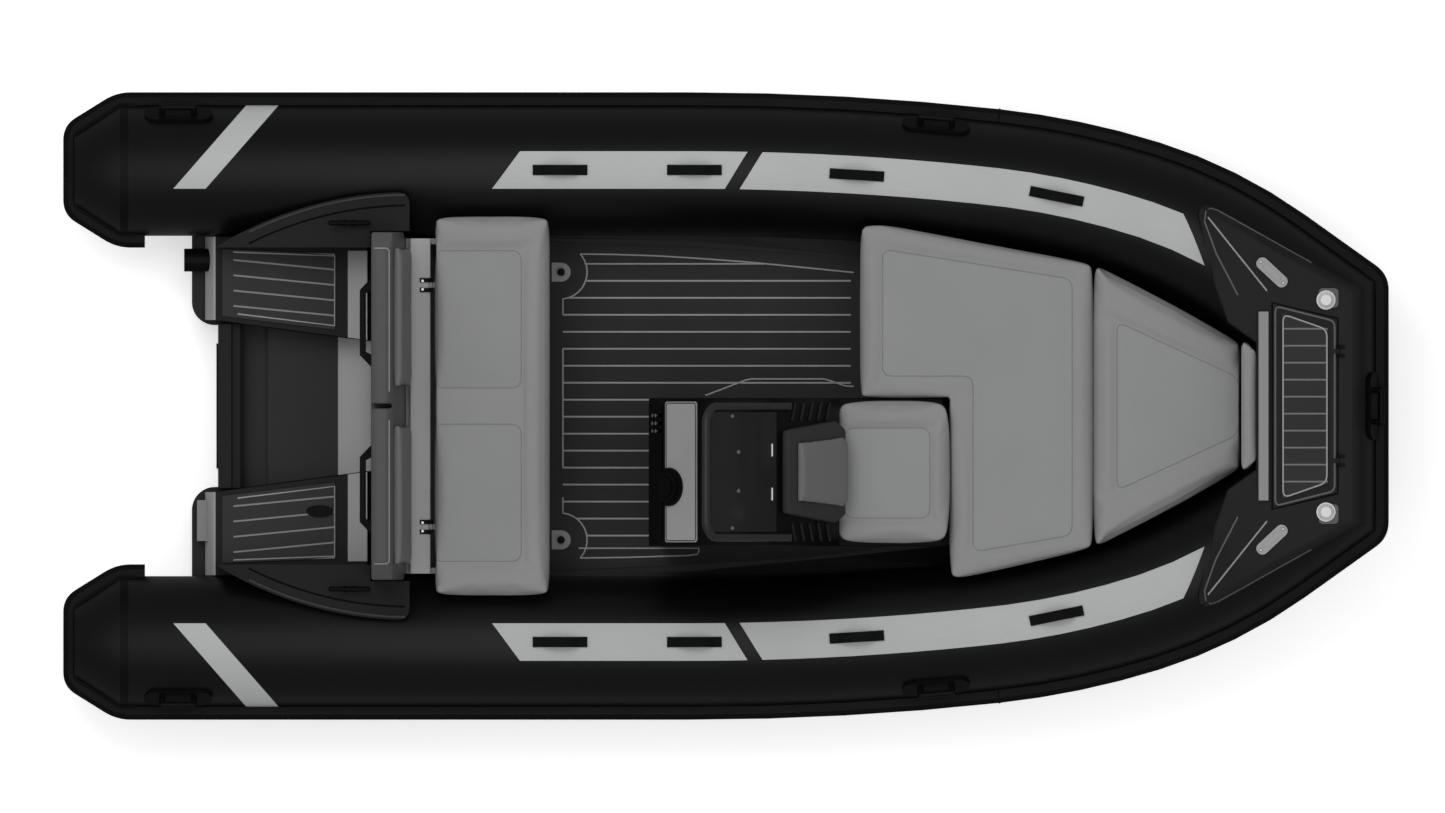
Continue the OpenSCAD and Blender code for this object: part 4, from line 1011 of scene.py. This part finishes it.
# Screws in the bow cleats' plates, which are turned to follow the wings
CLEAT_TOP, CLEAT_INSET, CLEAT_REACH = 0.7303, 0.052, 0.053
CLEAT_TURN = math.radians(43)
low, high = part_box("bow_cleats")
heads = []
for side in (1, -1):
    for end in (1, -1):
        x = (low.x + high.x) / 2 + end * CLEAT_REACH * math.cos(CLEAT_TURN)
        y = side * (high.y - CLEAT_INSET - end * CLEAT_REACH * math.sin(CLEAT_TURN))
        heads.append(screw_head((x, y, CLEAT_TOP), UP, 0.0065))
dress(joined("bow_cleat_screws", heads), "boat", STEEL, "fittings")

# Base plates under the bow lights
low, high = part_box("bow_lights")
light_x = (low.x + high.x) / 2 + 0.009
plates = [plate((light_x, side * (high.y - 0.026), 0.7265), (0.068, 0.068, 0.005), 0.014)
          for side in (1, -1)]
dress(joined("bow_light_plates", plates), "boat", RIM, "moulding")

# Marker lenses on the console's top
cowl = bpy.data.objects["console_body"]
cowl_top = surface(cowl)
plates = [plate((0.155, y, cowl_top(0.155, y) + 0.002), (0.009, 0.044, 0.008), 0.002)
          for y in (-0.153, -0.306)]
dress(joined("marker_lenses", plates), "boat", LENS, "lens")

# Dark line round the dash, in the plane of its slope
DASH_X, DASH_Y, DASH_Z, DASH_LIFT = -0.219, -0.229, 0.830, 0.0042
slope = math.atan2(0.120, 0.122)
dash_loop = round_loop(box_loop(0.015, 0.158, -0.239, 0.239), 0.010)
dash_line = [(DASH_X + a * math.cos(slope) - DASH_LIFT * math.sin(slope), DASH_Y + y,
              DASH_Z + a * math.sin(slope) + DASH_LIFT * math.cos(slope)) for a, y in dash_loop]
dress(bead("dash_outline", dash_line, 0.0016, True), "boat", BLACK, "black_plastic")

# Lug bolts of the screen rail, and cooling fins beside the seat
heads = [screw_head((-0.028, y, cowl_top(-0.028, y) + 0.002), UP, 0.008) for y in (0.004, -0.462)]
dress(joined("rail_lug_bolts", heads), "boat", STEEL, "fittings")

fins = []
for inner, outer in ((-0.052, 0.010), (-0.406, -0.468)):
    for i in range(5):
        x = 0.225 + 0.030 * i
        fins.append(laid_bead("fin", cowl, [(x, inner), (x + 0.012, outer)], 0.005, 0.002, False))
dress(joined("console_fins", fins), "boat", MOULDING, "black_plastic")

# Bolts in the foot plates
low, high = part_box("foot_plates")
foot_x = (low.x + high.x) / 2
heads = [screw_head((foot_x, side * (high.y - 0.033), high.z), UP, 0.013) for side in (1, -1)]
dress(joined("foot_plate_bolts", heads), "boat", BLACK, "black_plastic")

# Oval flush fitting on the starboard platform
let_go()
bpy.ops.mesh.primitive_cylinder_add(vertices=40, radius=0.5, depth=1, location=(-1.415, -0.365, 0.3385))
oval = bpy.context.object
oval.scale = (0.094, 0.042, 0.005)
settle(oval)
pick_faces(oval, lambda c, n: n.z > 0.9)
bpy.ops.mesh.inset(thickness=0.006)
bpy.ops.mesh.extrude_region_move(TRANSFORM_OT_translate={"value": (0, 0, -0.002)})
leave_edit()
oval.name = "platform_flush_cap"
smooth(oval, 30)
dress(oval, "boat", BLACK, "black_plastic")

# Seam tapes where the cones meet the tubes
tapes = []
for side in (1, -1):
    let_go()
    bpy.ops.mesh.primitive_cylinder_add(
        vertices=96, radius=TUBE_R + 0.001, depth=0.026, end_fill_type="NOTHING",
        location=(CONE_X + 0.014, side * TUBE_Y, COLLAR_Z), rotation=(0, math.pi / 2, 0))
    tape = bpy.context.object
    settle(tape)
    tapes.append(tape)
tapes = joined("cone_seam_tapes", tapes)
tape_edge = tapes.modifiers.new("thick", "SOLIDIFY")
tape_edge.thickness = 0.0016
take(tapes)
bpy.ops.object.modifier_apply(modifier="thick")
smooth(tapes, 40)
dress(tapes, "boat", STRAKE, "tube_fabric")

# Lips of the strakes round the cones
lips = []
lip_z = COLLAR_Z + STRAKE_H / 2
for side in (1, -1):
    wide = math.sqrt(TUBE_R ** 2 - (STRAKE_H / 2) ** 2)
    narrow = math.sqrt(CONE_END_R ** 2 - (STRAKE_H / 2) ** 2)
    aft = CONE_X - CONE_L
    line = [(CONE_X + 0.06, wide), (CONE_X, wide),
            (aft + 0.006, narrow + 0.006), (aft - 0.001, narrow - 0.006)]
    line += [(x, -half) for x, half in reversed(line)]
    lips.append(bead("lip", [(x, side * (TUBE_Y + half), lip_z) for x, half in line], 0.006, False))
dress(joined("strake_lips", lips), "boat", STRAKE, "strake_rubber")

# Beads over the butt joints of the strakes
middle = sum(butt_ring, Vector()) / len(butt_ring)
butt_ring.sort(key=lambda p: math.atan2(p.z - middle.z, p.y - middle.y))
beads = [bead("joint", [(x, side * y, z) for x, y, z in butt_ring], 0.003, True) for side in (1, -1)]
dress(joined("strake_joints", beads), "boat", STRAKE, "strake_rubber")

# Floor at the waterline, studio light and the photograph's viewing angle

PHOTO_X, PHOTO_Y, PHOTO_W = -0.0156, -0.0017, 5.02


def seen_rays(tree):
    """1 for rays that show the background: seen straight, in a reflection or through glass."""
    path = tree.nodes.new("ShaderNodeLightPath")
    bent = math_node(tree, "MAXIMUM", path.outputs["Is Glossy Ray"], path.outputs["Is Transmission Ray"])
    return math_node(tree, "MAXIMUM", path.outputs["Is Camera Ray"], bent)


let_go()
bpy.ops.mesh.primitive_plane_add(size=40, location=(0, 0, 0))
floor = bpy.context.object
floor.name = "floor"
floor_paint = bpy.data.materials.new("pale_floor")
floor_paint.use_nodes = True
paint = floor_paint.node_tree
matt = paint.nodes["Principled BSDF"]
matt.inputs["Base Color"].default_value = (0.9, 0.9, 0.9, 1.0)
matt.inputs["Roughness"].default_value = 0.9
matt.inputs["Specular IOR Level"].default_value = 0.0
glow = paint.nodes.new("ShaderNodeEmission")
paint.links.new(math_node(paint, "MULTIPLY", seen_rays(paint), 0.5), glow.inputs["Strength"])
both = paint.nodes.new("ShaderNodeAddShader")
paint.links.new(matt.outputs[0], both.inputs[0])
paint.links.new(glow.outputs[0], both.inputs[1])
paint.links.new(both.outputs[0], paint.nodes["Material Output"].inputs["Surface"])
floor.data.materials.append(floor_paint)
floor.visible_glossy = False

# Reflections see a soft light overhead, and this much light from the sides
SIDE_GLOW = 0.18
world = bpy.data.worlds.new("studio")
bpy.context.scene.world = world
world.use_nodes = True
sky = world.node_tree
sky.nodes["Background"].inputs["Color"].default_value = (1.0, 1.0, 1.0, 1.0)
sky.nodes["Background"].inputs["Strength"].default_value = 0.55
seen = sky.nodes.new("ShaderNodeBackground")
seen.inputs["Color"].default_value = (1.0, 1.0, 1.0, 1.0)
look = sky.nodes.new("ShaderNodeTexCoord")
overhead = sky.nodes.new("ShaderNodeMapRange")
overhead.interpolation_type = "SMOOTHSTEP"
overhead.inputs["From Min"].default_value = 0.72
overhead.inputs["From Max"].default_value = 0.97
overhead.inputs["To Min"].default_value = SIDE_GLOW
overhead.inputs["To Max"].default_value = 1.0
sky.links.new(axes(sky, look.outputs["Generated"])["Z"], overhead.inputs["Value"])
path = sky.nodes.new("ShaderNodeLightPath")
plain = math_node(sky, "SUBTRACT", 1.0, path.outputs["Is Glossy Ray"])
sky.links.new(math_node(sky, "MAXIMUM", plain, overhead.outputs["Result"]), seen.inputs["Strength"])
either = sky.nodes.new("ShaderNodeMixShader")
sky.links.new(seen_rays(sky), either.inputs[0])
sky.links.new(sky.nodes["Background"].outputs[0], either.inputs[1])
sky.links.new(seen.outputs[0], either.inputs[2])
sky.links.new(either.outputs[0], sky.nodes["World Output"].inputs["Surface"])

# Lamps: place, size and power
for place, size, watts in [((-2.5, 3.5, 8.0), 5.0, 260.0), ((3.0, -3.0, 8.5), 6.0, 120.0)]:
    bpy.ops.object.light_add(type="AREA", location=place)
    lamp = bpy.context.object
    lamp.data.size = size
    lamp.data.energy = watts
    lamp.visible_glossy = False
    lamp.rotation_euler = (-Vector(place)).to_track_quat("-Z", "Y").to_euler()

bpy.ops.object.camera_add(location=(PHOTO_X, PHOTO_Y, 6.0), rotation=(0, 0, 0))
camera = bpy.context.object
camera.data.type = "ORTHO"
camera.data.ortho_scale = PHOTO_W
bpy.context.scene.camera = camera
bpy.context.scene.view_settings.view_transform = "Standard"
